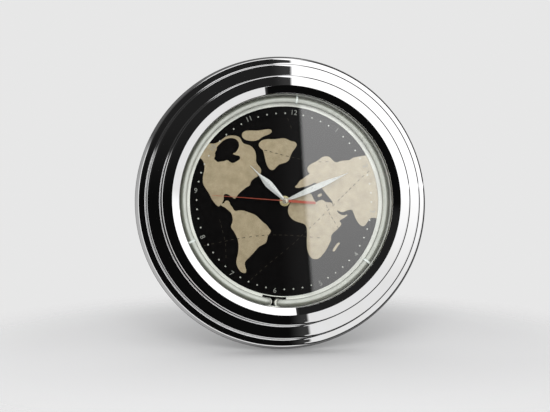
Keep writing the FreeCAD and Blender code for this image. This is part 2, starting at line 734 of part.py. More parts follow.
def gear(teeth, module, low, high, centre=(0, 0), bearing=0.0, tooth_on_bearing=True):
    """Make a toothed wheel with a tooth, or a gap, on the given clock bearing."""
    pitch_radius = teeth * module / 2
    tip = pitch_radius + ADDENDUM_SHARE * module
    root = pitch_radius - DEDENDUM_SHARE * module
    pitch = FULL_TURN / teeth
    first = bearing if tooth_on_bearing else bearing + pitch / 2
    points = []
    for index in range(teeth):
        middle = first + index * pitch
        for offset, radius in ((-ROOT_HALF_SHARE, root), (-TIP_HALF_SHARE, tip),
                               (TIP_HALF_SHARE, tip), (ROOT_HALF_SHARE, root)):
            spot = at_clock(middle + offset * pitch, radius)
            points.append(V(centre[0] + spot.x, centre[1] + spot.y, low))
    face = Part.Face(Part.makePolygon(points + [points[0]]))
    return face.extrude(V(0, 0, high - low))


def pair_module(distance, first_teeth, second_teeth):
    """Give the module of a pair from its centre distance."""
    return 2 * distance / (first_teeth + second_teeth)


def third_spot():
    """Give the third wheel's axis."""
    return at_clock(THIRD_BEARING, THIRD_DISTANCE)


def motion_spot():
    """Give the motion wheel's axis."""
    return at_clock(MOTION_BEARING, MOTION_DISTANCE)


def fifth_spot():
    """Give the fifth wheel's axis."""
    return at_clock(FIFTH_BEARING, FIFTH_DISTANCE)


def rotor_spot():
    """Give the rotor's axis."""
    return fifth_spot() + at_clock(ROTOR_BEARING, ROTOR_DISTANCE)


def wheel_levels(level):
    """Give the lower and upper level of a wheel's disc."""
    return FLOOR_LEVEL + level, FLOOR_LEVEL + level + WHEEL_THICKNESS


def pinion_levels(level):
    """Give the lower and upper level of a pinion centred on a wheel's disc."""
    middle = FLOOR_LEVEL + level + WHEEL_THICKNESS / 2
    return middle - PINION_LENGTH / 2, middle + PINION_LENGTH / 2


def hour_wheel():
    """Make the hour wheel with its pipe."""
    module = pair_module(MOTION_DISTANCE, MOTION_PINION_TEETH, HOUR_WHEEL_TEETH)
    low, high = wheel_levels(HOUR_LEVEL)
    wheel = gear(HOUR_WHEEL_TEETH, module, low, high, bearing=MOTION_BEARING)
    pipe = disc(HOUR_PIPE_RADIUS, low, HOUR_HAND_LEVEL + HAND_STOCK)
    bore = disc(MINUTE_TUBE_RADIUS + RUNNING_CLEARANCE, low - OVERRUN, SECOND_HAND_LEVEL)
    return fuse_all([wheel, pipe]).cut(bore)


def minute_wheel():
    """Make the centre wheel with its pinion and long tube."""
    wheel_module = pair_module(THIRD_DISTANCE, THIRD_PINION_TEETH, CENTRE_WHEEL_TEETH)
    pinion_module = pair_module(MOTION_DISTANCE, CENTRE_PINION_TEETH, MOTION_WHEEL_TEETH)
    low, high = wheel_levels(CENTRE_LEVEL)
    wheel = gear(CENTRE_WHEEL_TEETH, wheel_module, low, high, bearing=THIRD_BEARING)
    pinion_low, pinion_high = pinion_levels(MOTION_LEVEL)
    pinion = gear(CENTRE_PINION_TEETH, pinion_module, high, pinion_high, bearing=MOTION_BEARING)
    tube = disc(MINUTE_TUBE_RADIUS, pinion_high, MINUTE_HAND_LEVEL + HAND_STOCK)
    bore = disc(SECOND_RADIUS + RUNNING_CLEARANCE, low - OVERRUN, SECOND_HAND_LEVEL)
    return fuse_all([wheel, pinion, tube]).cut(bore)


def second_wheel():
    """Make the second wheel with its pinion and long shaft."""
    wheel_module = pair_module(FIFTH_DISTANCE, FIFTH_PINION_TEETH, SECOND_WHEEL_TEETH)
    pinion_module = pair_module(THIRD_DISTANCE, SECOND_PINION_TEETH, THIRD_WHEEL_TEETH)
    low, high = wheel_levels(SECOND_LEVEL)
    wheel = gear(SECOND_WHEEL_TEETH, wheel_module, low, high, bearing=FIFTH_BEARING)
    pinion_low, pinion_high = pinion_levels(THIRD_LEVEL)
    pinion = gear(SECOND_PINION_TEETH, pinion_module, pinion_low, pinion_high, bearing=THIRD_BEARING,
                  tooth_on_bearing=False)
    shaft = disc(SECOND_RADIUS, FLOOR_LEVEL - PIVOT_DEPTH, SECOND_HAND_LEVEL + HAND_STOCK)
    return fuse_all([wheel, pinion, shaft])


def third_wheel():
    """Make the third wheel with its pinion and arbor."""
    spot = third_spot()
    centre = (spot.x, spot.y)
    wheel_module = pair_module(THIRD_DISTANCE, SECOND_PINION_TEETH, THIRD_WHEEL_TEETH)
    pinion_module = pair_module(THIRD_DISTANCE, THIRD_PINION_TEETH, CENTRE_WHEEL_TEETH)
    towards = THIRD_BEARING + 180
    low, high = wheel_levels(THIRD_LEVEL)
    wheel = gear(THIRD_WHEEL_TEETH, wheel_module, low, high, centre, towards)
    pinion_low, pinion_high = pinion_levels(CENTRE_LEVEL)
    pinion = gear(THIRD_PINION_TEETH, pinion_module, high, pinion_high, centre, towards, False)
    arbor = disc(PIVOT_RADIUS, FLOOR_LEVEL + MIDDLE_LEVEL, PLATE_REAR + PIVOT_DEPTH, centre)
    return fuse_all([wheel, pinion, arbor])


def fifth_wheel():
    """Make the fifth wheel with its pinion and arbor."""
    spot = fifth_spot()
    centre = (spot.x, spot.y)
    wheel_module = pair_module(ROTOR_DISTANCE, ROTOR_PINION_TEETH, FIFTH_WHEEL_TEETH)
    pinion_module = pair_module(FIFTH_DISTANCE, FIFTH_PINION_TEETH, SECOND_WHEEL_TEETH)
    low, high = wheel_levels(FIFTH_LEVEL)
    wheel = gear(FIFTH_WHEEL_TEETH, wheel_module, low, high, centre, ROTOR_BEARING)
    pinion_low, pinion_high = pinion_levels(SECOND_LEVEL)
    pinion = gear(FIFTH_PINION_TEETH, pinion_module, high, pinion_high, centre, FIFTH_BEARING + 180, False)
    arbor = disc(PIVOT_RADIUS, FLOOR_LEVEL - PIVOT_DEPTH, FLOOR_LEVEL + MIDDLE_LEVEL + MIDDLE_PLATE, centre)
    return fuse_all([wheel, pinion, arbor])


def rotor_pinion():
    """Make the rotor's arbor with its pinion."""
    spot = rotor_spot()
    centre = (spot.x, spot.y)
    module = pair_module(ROTOR_DISTANCE, ROTOR_PINION_TEETH, FIFTH_WHEEL_TEETH)
    low, high = pinion_levels(FIFTH_LEVEL)
    pinion = gear(ROTOR_PINION_TEETH, module, low, high, centre, ROTOR_BEARING + 180, False)
    arbor = disc(PIVOT_RADIUS, FLOOR_LEVEL - PIVOT_DEPTH, FLOOR_LEVEL + MIDDLE_LEVEL + MIDDLE_PLATE, centre)
    return fuse_all([pinion, arbor])


def rotor_magnet():
    """Make the rotor's magnet, pressed on the rotor arbor."""
    spot = rotor_spot()
    low = FLOOR_LEVEL + ROTOR_LEVEL
    return ring(PIVOT_RADIUS, ROTOR_RADIUS, low, low + ROTOR_HEIGHT, (spot.x, spot.y))


def motion_wheel():
    """Make the motion wheel with its pinion and the arbor that carries the knob."""
    spot = motion_spot()
    centre = (spot.x, spot.y)
    wheel_module = pair_module(MOTION_DISTANCE, CENTRE_PINION_TEETH, MOTION_WHEEL_TEETH)
    pinion_module = pair_module(MOTION_DISTANCE, MOTION_PINION_TEETH, HOUR_WHEEL_TEETH)
    towards = MOTION_BEARING + 180
    low, high = wheel_levels(MOTION_LEVEL)
    wheel = gear(MOTION_WHEEL_TEETH, wheel_module, low, high, centre, towards, False)
    pinion_low, pinion_high = pinion_levels(HOUR_LEVEL)
    pinion = gear(MOTION_PINION_TEETH, pinion_module, high, pinion_high, centre, towards, False)
    arbor = disc(MOTION_ARBOR_RADIUS, MOVEMENT_REAR - KNOB_GAP - KNOB_HEIGHT / 2, high, centre)
    pivot = disc(PIVOT_RADIUS, high, PLATE_REAR + PIVOT_DEPTH, centre)
    return fuse_all([wheel, pinion, arbor, pivot])


def setting_knob():
    """Make the notched knob that sets the hands."""
    spot = motion_spot()
    high = MOVEMENT_REAR - KNOB_GAP
    low = high - KNOB_HEIGHT
    knob = disc(KNOB_RADIUS, low, high, (spot.x, spot.y))
    notch = KNOB_RADIUS * KNOB_NOTCH_SHARE
    notches = []
    for index in range(KNOB_NOTCHES):
        edge = spot + at_clock(FULL_TURN * index / KNOB_NOTCHES, KNOB_RADIUS)
        notches.append(disc(notch, low - OVERRUN, high + OVERRUN, (edge.x, edge.y)))
    knob = knob.cut(Part.makeCompound(notches))
    return knob.cut(disc(MOTION_ARBOR_RADIUS, low + KNOB_HEIGHT / 2, high + OVERRUN, (spot.x, spot.y)))


def pivot_hole(spot, low, high, radius=PIVOT_RADIUS):
    """Make the cutter for a running pivot hole."""
    return disc(radius + RUNNING_CLEARANCE, low, high, (spot.x, spot.y))


def movement_front():
    """Make the movement's front plate with its pivot holes."""
    plate = rounded_block(-MOVEMENT_HALF_WIDTH, MOVEMENT_HALF_WIDTH, -MOVEMENT_BELOW, MOVEMENT_ABOVE,
                          PLATE_REAR, MOVEMENT_FRONT, MOVEMENT_CORNER)
    plate = plate.cut(disc(BUSH_RADIUS, PLATE_REAR - OVERRUN, MOVEMENT_FRONT + OVERRUN))
    blind = PLATE_REAR + PIVOT_DEPTH + RUNNING_CLEARANCE
    for spot in (third_spot(), motion_spot()):
        plate = plate.cut(pivot_hole(spot, PLATE_REAR - OVERRUN, blind))
    return plate


def movement_tray():
    """Make the movement's rear housing with the open battery bay."""
    shell = rounded_block(-MOVEMENT_HALF_WIDTH, MOVEMENT_HALF_WIDTH, -MOVEMENT_BELOW, MOVEMENT_ABOVE,
                          MOVEMENT_REAR, PLATE_REAR, MOVEMENT_CORNER)
    inner_left = -MOVEMENT_HALF_WIDTH + MOVEMENT_WALL
    inner_right = MOVEMENT_HALF_WIDTH - MOVEMENT_WALL
    works = block(inner_left, inner_right, -BAY_TOP, MOVEMENT_ABOVE - MOVEMENT_WALL,
                  FLOOR_LEVEL, PLATE_REAR + OVERRUN)
    bay = block(inner_left, inner_right, -MOVEMENT_BELOW + MOVEMENT_WALL, -BAY_TOP - MOVEMENT_WALL,
                MOVEMENT_REAR - OVERRUN, PLATE_REAR + OVERRUN)
    tray = shell.cut(works).cut(bay)
    blind = FLOOR_LEVEL - PIVOT_DEPTH - RUNNING_CLEARANCE
    for spot in (fifth_spot(), rotor_spot()):
        tray = tray.cut(pivot_hole(spot, blind, FLOOR_LEVEL + OVERRUN))
    tray = tray.cut(pivot_hole(V(0, 0, 0), blind, FLOOR_LEVEL + OVERRUN, SECOND_RADIUS))
    return tray.cut(pivot_hole(motion_spot(), MOVEMENT_REAR - OVERRUN, FLOOR_LEVEL + OVERRUN,
                               MOTION_ARBOR_RADIUS))


def middle_plate():
    """Make the plate between the second wheel and the third wheel, on four pillars."""
    low = FLOOR_LEVEL + MIDDLE_LEVEL
    high = low + MIDDLE_PLATE
    left = -MOVEMENT_HALF_WIDTH + MOVEMENT_WALL + MIDDLE_PLATE_GAP
    right = MOVEMENT_HALF_WIDTH - MOVEMENT_WALL - MIDDLE_PLATE_GAP
    bottom = -BAY_TOP + MIDDLE_PLATE_GAP
    top = MOVEMENT_ABOVE - MOVEMENT_WALL - MIDDLE_PLATE_GAP
    parts = [block(left, right, bottom, top, low, high)]
    for x in (left, right - MOVEMENT_WALL):
        for y in (bottom, top - MOVEMENT_WALL):
            parts.append(block(x, x + MOVEMENT_WALL, y, y + MOVEMENT_WALL, FLOOR_LEVEL, low))
    plate = fuse_all(parts)
    for spot in (third_spot(), fifth_spot(), rotor_spot()):
        plate = plate.cut(pivot_hole(spot, low - OVERRUN, high + OVERRUN))
    for spot, radius in ((V(0, 0, 0), MINUTE_TUBE_RADIUS), (motion_spot(), MINUTE_TUBE_RADIUS)):
        plate = plate.cut(disc(radius, low - OVERRUN, high + OVERRUN, (spot.x, spot.y)))
    return plate


def stator():
    """Make the motor's flat iron with the rotor's hole and two limbs."""
    spot = rotor_spot()
    low = FLOOR_LEVEL + ROTOR_LEVEL + (ROTOR_HEIGHT - STATOR_THICKNESS) / 2
    high = low + STATOR_THICKNESS
    left = spot.x - STATOR_LIMB - STATOR_AIR_GAP
    right = spot.x + STATOR_REACH
    bottom = spot.y - STATOR_BELOW
    top = spot.y + STATOR_RISE
    foot = block(left, right, bottom, spot.y + STATOR_BELOW, low, high)
    left_limb = block(left, left + STATOR_LIMB, bottom, top, low, high)
    right_limb = block(right - STATOR_LIMB, right, bottom, top, low, high)
    iron = fuse_all([foot, left_limb, right_limb])
    return iron.cut(disc(ROTOR_RADIUS + STATOR_AIR_GAP, low - OVERRUN, high + OVERRUN, (spot.x, spot.y)))


def coil_limits():
    """Give the coil core's limits: left, right, bottom, top, low, high."""
    spot = rotor_spot()
    low = FLOOR_LEVEL + ROTOR_LEVEL + (ROTOR_HEIGHT + STATOR_THICKNESS) / 2
    left = spot.x - STATOR_LIMB - STATOR_AIR_GAP
    top = spot.y + STATOR_RISE
    return left, spot.x + STATOR_REACH, top - STATOR_LIMB, top, low, low + STATOR_THICKNESS


def coil_core():
    """Make the iron bar through the coil."""
    return block(*coil_limits())


def coil_winding():
    """Make the coil's winding as one round bundle on its core."""
    left, right, bottom, top, low, high = coil_limits()
    start = V(left + STATOR_LIMB + COIL_END_GAP, (bottom + top) / 2, (low + high) / 2)
    length = right - left - 2 * STATOR_LIMB - 2 * COIL_END_GAP
    winding = Part.makeCylinder(COIL_RADIUS, length, start, V(1, 0, 0))
    return winding.cut(coil_core())


def circuit_board():
    """Make the movement's small circuit board."""
    left = -MOVEMENT_HALF_WIDTH + MOVEMENT_WALL + BOARD_INSET + MIDDLE_PLATE_GAP + MOVEMENT_WALL
    bottom = -BAY_TOP + BOARD_INSET
    return block(left, left + BOARD_WIDTH, bottom, bottom + BOARD_HEIGHT, FLOOR_LEVEL, FLOOR_LEVEL + BOARD_THICKNESS)


def quartz_crystal():
    """Make the crystal's small can, lying on the board."""
    left = -MOVEMENT_HALF_WIDTH + MOVEMENT_WALL + BOARD_INSET + MIDDLE_PLATE_GAP + MOVEMENT_WALL
    start = V(left + BOARD_WIDTH / 2, 0, FLOOR_LEVEL + BOARD_THICKNESS + CRYSTAL_RADIUS)
    return Part.makeCylinder(CRYSTAL_RADIUS, CRYSTAL_LENGTH, start, V(0, 1, 0))


def battery_line():
    """Give the height and level of the battery's axis."""
    height = -BAY_TOP - MOVEMENT_WALL - BATTERY_GAP - BATTERY_RADIUS
    return height, PLATE_REAR - BATTERY_GAP - BATTERY_RADIUS


def battery():
    """Make the single dry cell with its raised end."""
    height, level = battery_line()
    start = V(-BATTERY_LENGTH / 2, height, level)
    can = Part.makeCylinder(BATTERY_RADIUS, BATTERY_LENGTH, start, V(1, 0, 0))
    rims = [edge for edge in can.Edges if edge.Curve.TypeId == "Part::GeomCircle"]
    can = can.makeChamfer(BATTERY_CHAMFER, rims)
    nub = Part.makeCylinder(BATTERY_NUB_RADIUS, BATTERY_NUB_LENGTH, V(BATTERY_LENGTH / 2, height, level), V(1, 0, 0))
    return fuse_all([can, nub])


def battery_contact(side):
    """Make one bent contact strip between the battery and the bay's end wall."""
    height, level = battery_line()
    wall = MOVEMENT_HALF_WIDTH - MOVEMENT_WALL
    tip = BATTERY_LENGTH / 2 + (BATTERY_NUB_LENGTH if side > 0 else 0)
    low_y = height - CONTACT_WIDTH / 2
    high_y = height + CONTACT_WIDTH / 2
    low_w = level - CONTACT_FOOT
    high_w = level + CONTACT_FOOT
    on_wall = block(wall - CONTACT_THICKNESS, wall, low_y, high_y, low_w, high_w)
    bridge = block(tip, wall, low_y, high_y, high_w - CONTACT_THICKNESS, high_w)
    on_cell = block(tip, tip + CONTACT_THICKNESS, low_y, high_y, level - CONTACT_FOOT / 2, high_w)
    strip = fuse_all([on_wall, bridge, on_cell])
    if side < 0:
        strip = strip.mirror(V(0, 0, 0), V(1, 0, 0))
    return strip


def well_limits():
    """Give the limits of the opening behind the movement: left, right, bottom, top."""
    return -WELL_HALF_WIDTH, WELL_HALF_WIDTH, -MOVEMENT_BELOW - WELL_MARGIN, MOVEMENT_ABOVE + WELL_MARGIN


def inverter_posts():
    """List where the supply board's posts stand."""
    x = INVERTER_BOARD_HALF_WIDTH - POST_INSET
    low = -INVERTER_BOARD_LOW + POST_INSET
    high = -INVERTER_BOARD_LOW + INVERTER_BOARD_HEIGHT - POST_INSET
    return [(-x, low), (x, low), (-x, high), (x, high)]


def keyhole():
    """Make the cutter for the hanging hole and its upward slot."""
    low = WALL_LEVEL - OVERRUN
    high = COVER_FLOOR + OVERRUN
    head = disc(HANG_HEAD_RADIUS, low, high, (0, HANG_HEIGHT))
    slot = block(-HANG_SLOT_RADIUS, HANG_SLOT_RADIUS, HANG_HEIGHT, HANG_HEIGHT + HANG_SLOT_RISE, low, high)
    end = disc(HANG_SLOT_RADIUS, low, high, (0, HANG_HEIGHT + HANG_SLOT_RISE))
    return fuse_all([head, slot, end])


def cover_vents():
    """Make the cutters for the air slots on both sides of the tube supply."""
    low = WALL_LEVEL - OVERRUN
    high = COVER_FLOOR + OVERRUN
    middle_row = (VENT_COUNT - 1) / 2
    slots = []
    for side in (-1, 1):
        for index in range(VENT_COUNT):
            x = side * VENT_OFFSET
            y = -VENT_OFFSET + (index - middle_row) * VENT_PITCH
            slots.append(rounded_block(x - VENT_LENGTH / 2, x + VENT_LENGTH / 2, y - VENT_WIDTH / 2,
                                       y + VENT_WIDTH / 2, low, high, VENT_WIDTH * VENT_END_SHARE))
    return Part.makeCompound(slots)


def flange_radius():
    """Give the cover flange's radius inside the bezel."""
    inner = parallel_outline(bezel_outline(), CASE_WALL)
    return radius_on(inner[0], inner[1], FLANGE_TOP) - COVER_GAP


def cover_body():
    """Turn the cover's dish, flange and dial support in one profile."""
    outer = flange_radius()
    return revolved([
        (0, WALL_LEVEL, 0),
        (DISH_RADIUS, WALL_LEVEL, EDGE_ROUND),
        (DISH_RADIUS, COVER_RECESS, 0),
        (outer, COVER_RECESS, 0),
        (outer, FLANGE_TOP, 0),
        (DISH_INNER_RADIUS, FLANGE_TOP, 0),
        (DISH_INNER_RADIUS, COVER_FLOOR, 0),
        (SUPPORT_RADIUS, COVER_FLOOR, 0),
        (SUPPORT_RADIUS, DIAL_REAR, 0),
        (SUPPORT_INNER_RADIUS, DIAL_REAR, 0),
        (SUPPORT_INNER_RADIUS, COVER_FLOOR, 0),
        (0, COVER_FLOOR, 0),
    ])


def rear_cover():
    """Make the black cover that closes the case and hangs the clock."""
    left, right, bottom, top = well_limits()
    parts = [cover_body()]
    well = rounded_block(left - WELL_WALL, right + WELL_WALL, bottom - WELL_WALL, top + WELL_WALL,
                         COVER_FLOOR, DIAL_REAR - COVER_GAP, MOVEMENT_CORNER + WELL_WALL)
    parts.append(well)
    for angle in RIB_ANGLES:
        rib = block(-RIB_THICKNESS / 2, RIB_THICKNESS / 2, SUPPORT_RADIUS - SUPPORT_WALL / 2,
                    DISH_INNER_RADIUS + COVER_WALL / 2, COVER_FLOOR, COVER_FLOOR + RIB_HEIGHT)
        parts.append(turn_to_clock(rib, angle))
    for spot in inverter_posts():
        parts.append(disc(POST_RADIUS, COVER_FLOOR, BOARD_LEVEL, spot))
        parts.append(disc(STAKE_RADIUS, BOARD_LEVEL, BOARD_TOP + STAKE_RISE, spot))
    cover = fuse_all(parts)
    cover = cover.cut(rounded_block(left, right, bottom, top, WALL_LEVEL - OVERRUN,
                                    DIAL_REAR + OVERRUN, MOVEMENT_CORNER))
    cover = cover.cut(keyhole()).cut(cover_vents())
    window = block(-LEAD_WINDOW_HALF_WIDTH, LEAD_WINDOW_HALF_WIDTH, -SUPPORT_RADIUS - COVER_GAP,
                   -INVERTER_BOARD_LOW - COVER_GAP, COVER_FLOOR, COVER_FLOOR + LEAD_WINDOW_HEIGHT)
    cover = cover.cut(window)
    hole = SCREW_RADIUS + SCREW_HOLE_CLEARANCE
    for angle in boss_angles():
        spot = at_clock(angle, boss_circle_radius())
        cover = cover.cut(disc(hole, COVER_RECESS - OVERRUN, FLANGE_TOP + OVERRUN, (spot.x, spot.y)))
    mouth = Part.makeCylinder(JACK_MOUTH_RADIUS, COVER_WALL + OVERRUN, V(0, DISH_INNER_RADIUS, INLET_LEVEL), V(0, 1, 0))
    cover = cover.cut(turn_to_clock(mouth, INLET_ANGLE))
    reach = SLIDER_WIDTH / 2 + SWITCH_TRAVEL / 2 + SLIDER_CLEARANCE
    rise = SLIDER_HEIGHT / 2 + SLIDER_CLEARANCE
    slot = block(-reach, reach, DISH_INNER_RADIUS - COVER_WALL, DISH_RADIUS + OVERRUN, INLET_LEVEL - rise,
                 INLET_LEVEL + rise)
    return cover.cut(turn_to_clock(slot, SWITCH_ANGLE))


def cover_screws():
    """Make the six cover screws as one group."""
    screws = []
    for angle in boss_angles():
        spot = at_clock(angle, boss_circle_radius())
        centre = (spot.x, spot.y)
        shank = disc(SCREW_RADIUS, COVER_RECESS, COVER_RECESS + SCREW_LENGTH, centre)
        head = disc(SCREW_HEAD_RADIUS, COVER_RECESS - SCREW_HEAD_HEIGHT, COVER_RECESS, centre)
        head = head.makeChamfer(SCREW_CROSS_WIDTH / 2, [min(head.Edges, key=lambda edge: edge.CenterOfMass.z)])
        screw = fuse_all([head, shank])
        reach = SCREW_HEAD_RADIUS * SCREW_CROSS_SHARE
        low = COVER_RECESS - SCREW_HEAD_HEIGHT
        for half_x, half_y in ((reach, SCREW_CROSS_WIDTH / 2), (SCREW_CROSS_WIDTH / 2, reach)):
            screw = screw.cut(block(spot.x - half_x, spot.x + half_x, spot.y - half_y, spot.y + half_y,
                                    low - OVERRUN, low + SCREW_CROSS_DEPTH))
        screws.append(screw)
    return Part.makeCompound(screws)


def inverter_board():
    """Make the tube supply's board on its stakes."""
    board = block(-INVERTER_BOARD_HALF_WIDTH, INVERTER_BOARD_HALF_WIDTH, -INVERTER_BOARD_LOW,
                  -INVERTER_BOARD_LOW + INVERTER_BOARD_HEIGHT, BOARD_LEVEL, BOARD_TOP)
    for spot in inverter_posts():
        board = board.cut(disc(STAKE_RADIUS + STAKE_CLEARANCE, BOARD_LEVEL - OVERRUN, BOARD_TOP + OVERRUN, spot))
    return board


def transformer_limits():
    """Give the transformer core's limits: left, right, bottom, top."""
    middle = -INVERTER_BOARD_LOW + INVERTER_BOARD_HEIGHT - CORE_HEIGHT / 2
    return (-CORE_OFFSET - CORE_WIDTH / 2 + CORE_LIMB, -CORE_OFFSET + CORE_WIDTH / 2 + CORE_LIMB,
            middle - CORE_HEIGHT / 2, middle + CORE_HEIGHT / 2)


def transformer_core():
    """Make the transformer's ferrite with its two windows."""
    left, right, bottom, top = transformer_limits()
    core = block(left, right, bottom, top, BOARD_TOP, BOARD_TOP + CORE_DEPTH)
    middle = (left + right) / 2
    low = BOARD_TOP - OVERRUN
    high = BOARD_TOP + CORE_DEPTH + OVERRUN
    for start, end in ((left + CORE_LIMB, middle - CORE_LEG / 2), (middle + CORE_LEG / 2, right - CORE_LIMB)):
        core = core.cut(block(start, end, bottom + CORE_LIMB, top - CORE_LIMB, low, high))
    return core


def transformer_winding():
    """Make the winding round the core's middle leg."""
    left, right, bottom, top = transformer_limits()
    middle = (left + right) / 2
    low = BOARD_TOP
    high = BOARD_TOP + CORE_DEPTH + WINDING_WALL
    outside = block(middle - CORE_LEG / 2 - WINDING_WALL, middle + CORE_LEG / 2 + WINDING_WALL,
                    bottom + CORE_LIMB, top - CORE_LIMB, low, high)
    inside = block(middle - CORE_LEG / 2, middle + CORE_LEG / 2, bottom, top, low - OVERRUN, BOARD_TOP + CORE_DEPTH)
    return outside.cut(inside)


def storage_capacitor():
    """Make the tall round capacitor."""
    _, _, bottom, top = transformer_limits()
    spot = (CAPACITOR_OFFSET, (bottom + top) / 2)
    can = disc(CAPACITOR_RADIUS, BOARD_TOP, BOARD_TOP + CAPACITOR_HEIGHT, spot)
    upper = max(can.Edges, key=lambda edge: edge.CenterOfMass.z)
    return can.makeFillet(CAPACITOR_ROUND, [upper])


def lead_socket():
    """Make the socket block that takes the tube's two leads."""
    return block(-SOCKET_WIDTH / 2, SOCKET_WIDTH / 2, -INVERTER_BOARD_LOW, -INVERTER_BOARD_LOW + SOCKET_HEIGHT,
                 BOARD_TOP, BOARD_TOP + SOCKET_DEPTH)


def jack_face():
    """Give how far out the inlet's front face lies."""
    return math.sqrt(DISH_INNER_RADIUS ** 2 - (JACK_WIDTH / 2) ** 2)


def dc_jack():
    """Make the low voltage inlet behind the dish's wall."""
    face = jack_face()
    body = block(-JACK_WIDTH / 2, JACK_WIDTH / 2, face - JACK_LENGTH, face, COVER_FLOOR, COVER_FLOOR + JACK_WIDTH)
    bore = Part.makeCylinder(JACK_BORE_RADIUS, JACK_BORE_DEPTH + OVERRUN,
                             V(0, face - JACK_BORE_DEPTH, INLET_LEVEL), V(0, 1, 0))
    return turn_to_clock(body.cut(bore), INLET_ANGLE)


def jack_pin():
    """Make the inlet's centre pin."""
    face = jack_face()
    pin = Part.makeCylinder(JACK_PIN_RADIUS, JACK_BORE_DEPTH, V(0, face - JACK_BORE_DEPTH, INLET_LEVEL), V(0, 1, 0))
    return turn_to_clock(pin, INLET_ANGLE)


def switch_face():
    """Give how far out the switch body's front face lies."""
    return math.sqrt(DISH_INNER_RADIUS ** 2 - (SWITCH_WIDTH / 2) ** 2)


def switch_body():
    """Make the slide switch's body with the slider's channel."""
    face = switch_face()
    half = SWITCH_DEPTH / 2
    body = block(-SWITCH_WIDTH / 2, SWITCH_WIDTH / 2, face - SWITCH_LENGTH, face, INLET_LEVEL - half,
                 INLET_LEVEL + half)
    shelf = block(-SWITCH_WIDTH / 2, SWITCH_WIDTH / 2, face - SWITCH_LENGTH, face, COVER_FLOOR,
                  INLET_LEVEL - half)
    reach = SLIDER_WIDTH / 2 + SWITCH_TRAVEL / 2 + SLIDER_CLEARANCE
    rise = SLIDER_HEIGHT / 2 + RUNNING_CLEARANCE
    channel = block(-reach, reach, face - SLIDER_FOOT - SLIDER_CLEARANCE, face + OVERRUN, INLET_LEVEL - rise,
                    INLET_LEVEL + rise)
    return turn_to_clock(fuse_all([body, shelf]).cut(channel), SWITCH_ANGLE)


def switch_slider():
    """Make the switch's slider at the off end of its travel."""
    face = switch_face()
    half = SLIDER_WIDTH / 2
    start = -SWITCH_TRAVEL / 2
    rise = SLIDER_HEIGHT / 2
    slider = block(start - half, start + half, face - SLIDER_FOOT, DISH_RADIUS + SLIDER_STAND,
                   INLET_LEVEL - rise, INLET_LEVEL + rise)
    return turn_to_clock(slider, SWITCH_ANGLE)


def all_pieces():
    """Build every piece, by its node's name."""
    left_leg, right_leg = leg_spots()
    pieces = {
        "front_bezel": front_bezel(),
        "glass_lens": glass_lens(),
        "glass_gasket": glass_gasket(),
        "reflector_tray": reflector_tray(),
        "neon_tube": neon_tube(),
        "electrode_boot_left": electrode_boot(left_leg),
        "electrode_boot_right": electrode_boot(right_leg),
        "tube_lead_left": tube_lead(left_leg),
        "tube_lead_right": tube_lead(right_leg),
        "dial_plate": dial_plate(),
        "threaded_bush": threaded_bush(),
        "bush_cushion": bush_cushion(),
        "dial_washer": dial_washer(),
        "dial_nut": dial_nut(),
        "hour_hand": hour_hand(),
        "minute_hand": minute_hand(),
        "second_hand": second_hand(),
        "centre_cap": centre_cap(),
        "hour_wheel": hour_wheel(),
        "minute_wheel": minute_wheel(),
        "second_wheel": second_wheel(),
        "third_wheel": third_wheel(),
        "fifth_wheel": fifth_wheel(),
        "rotor_pinion": rotor_pinion(),
        "rotor_magnet": rotor_magnet(),
        "motion_wheel": motion_wheel(),
        "setting_knob": setting_knob(),
        "movement_front": movement_front(),
        "movement_tray": movement_tray(),
        "middle_plate": middle_plate(),
        "stator": stator(),
        "coil_core": coil_core(),
        "coil_winding": coil_winding(),
        "circuit_board": circuit_board(),
        "quartz_crystal": quartz_crystal(),
        "battery": battery(),
        "contact_positive": battery_contact(1),
        "contact_negative": battery_contact(-1),
        "rear_cover": rear_cover(),
        "cover_screws": cover_screws(),
        "inverter_board": inverter_board(),
        "transformer_core": transformer_core(),
        "transformer_winding": transformer_winding(),
        "storage_capacitor": storage_capacitor(),
        "lead_socket": lead_socket(),
        "dc_jack": dc_jack(),
        "jack_pin": jack_pin(),
        "switch_body": switch_body(),
        "switch_slider": switch_slider(),
    }
    for name, angle in CLIP_ANGLES.items():
        pieces["tube_clip_" + name] = tube_clip(angle)
    return pieces


def main():
    """Build the clock and write one file per piece."""
    os.makedirs("parts", exist_ok=True)
    for name, shape in all_pieces().items():
        placed = place(shape)
        placed.exportStep("parts/" + name + ".step")
        print(name, "solids", len(placed.Solids), "volume", round(placed.Volume, 2),
              "valid", placed.isValid())


main()
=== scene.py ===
"""World map wall clock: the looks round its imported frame, the studio and the camera."""

import logging
import math
from dataclasses import dataclass
from enum import Enum

import bmesh
import bpy
from mathutils import Matrix, Vector
from mathutils.geometry import tessellate_polygon


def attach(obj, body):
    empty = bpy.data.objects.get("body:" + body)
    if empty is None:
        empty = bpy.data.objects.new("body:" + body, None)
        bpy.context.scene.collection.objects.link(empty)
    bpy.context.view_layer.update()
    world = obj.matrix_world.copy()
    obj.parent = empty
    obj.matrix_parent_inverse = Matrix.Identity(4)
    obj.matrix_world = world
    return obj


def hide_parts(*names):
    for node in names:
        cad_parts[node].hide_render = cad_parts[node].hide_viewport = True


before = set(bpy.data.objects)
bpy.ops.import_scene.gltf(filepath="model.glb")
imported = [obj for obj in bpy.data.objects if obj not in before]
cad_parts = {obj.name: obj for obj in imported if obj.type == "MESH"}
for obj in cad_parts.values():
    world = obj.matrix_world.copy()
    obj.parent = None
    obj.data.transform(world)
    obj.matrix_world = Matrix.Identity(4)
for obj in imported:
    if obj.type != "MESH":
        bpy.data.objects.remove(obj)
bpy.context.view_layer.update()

LOG = logging.getLogger("wall_clock")
MILLIMETRE = 0.001
WALL_TO_RIM = 12.0
HANG_HEIGHT = 98.0
NOISE_LOW = 0.3
NOISE_HIGH = 0.7
MINUTES = 60
HOURS = 12

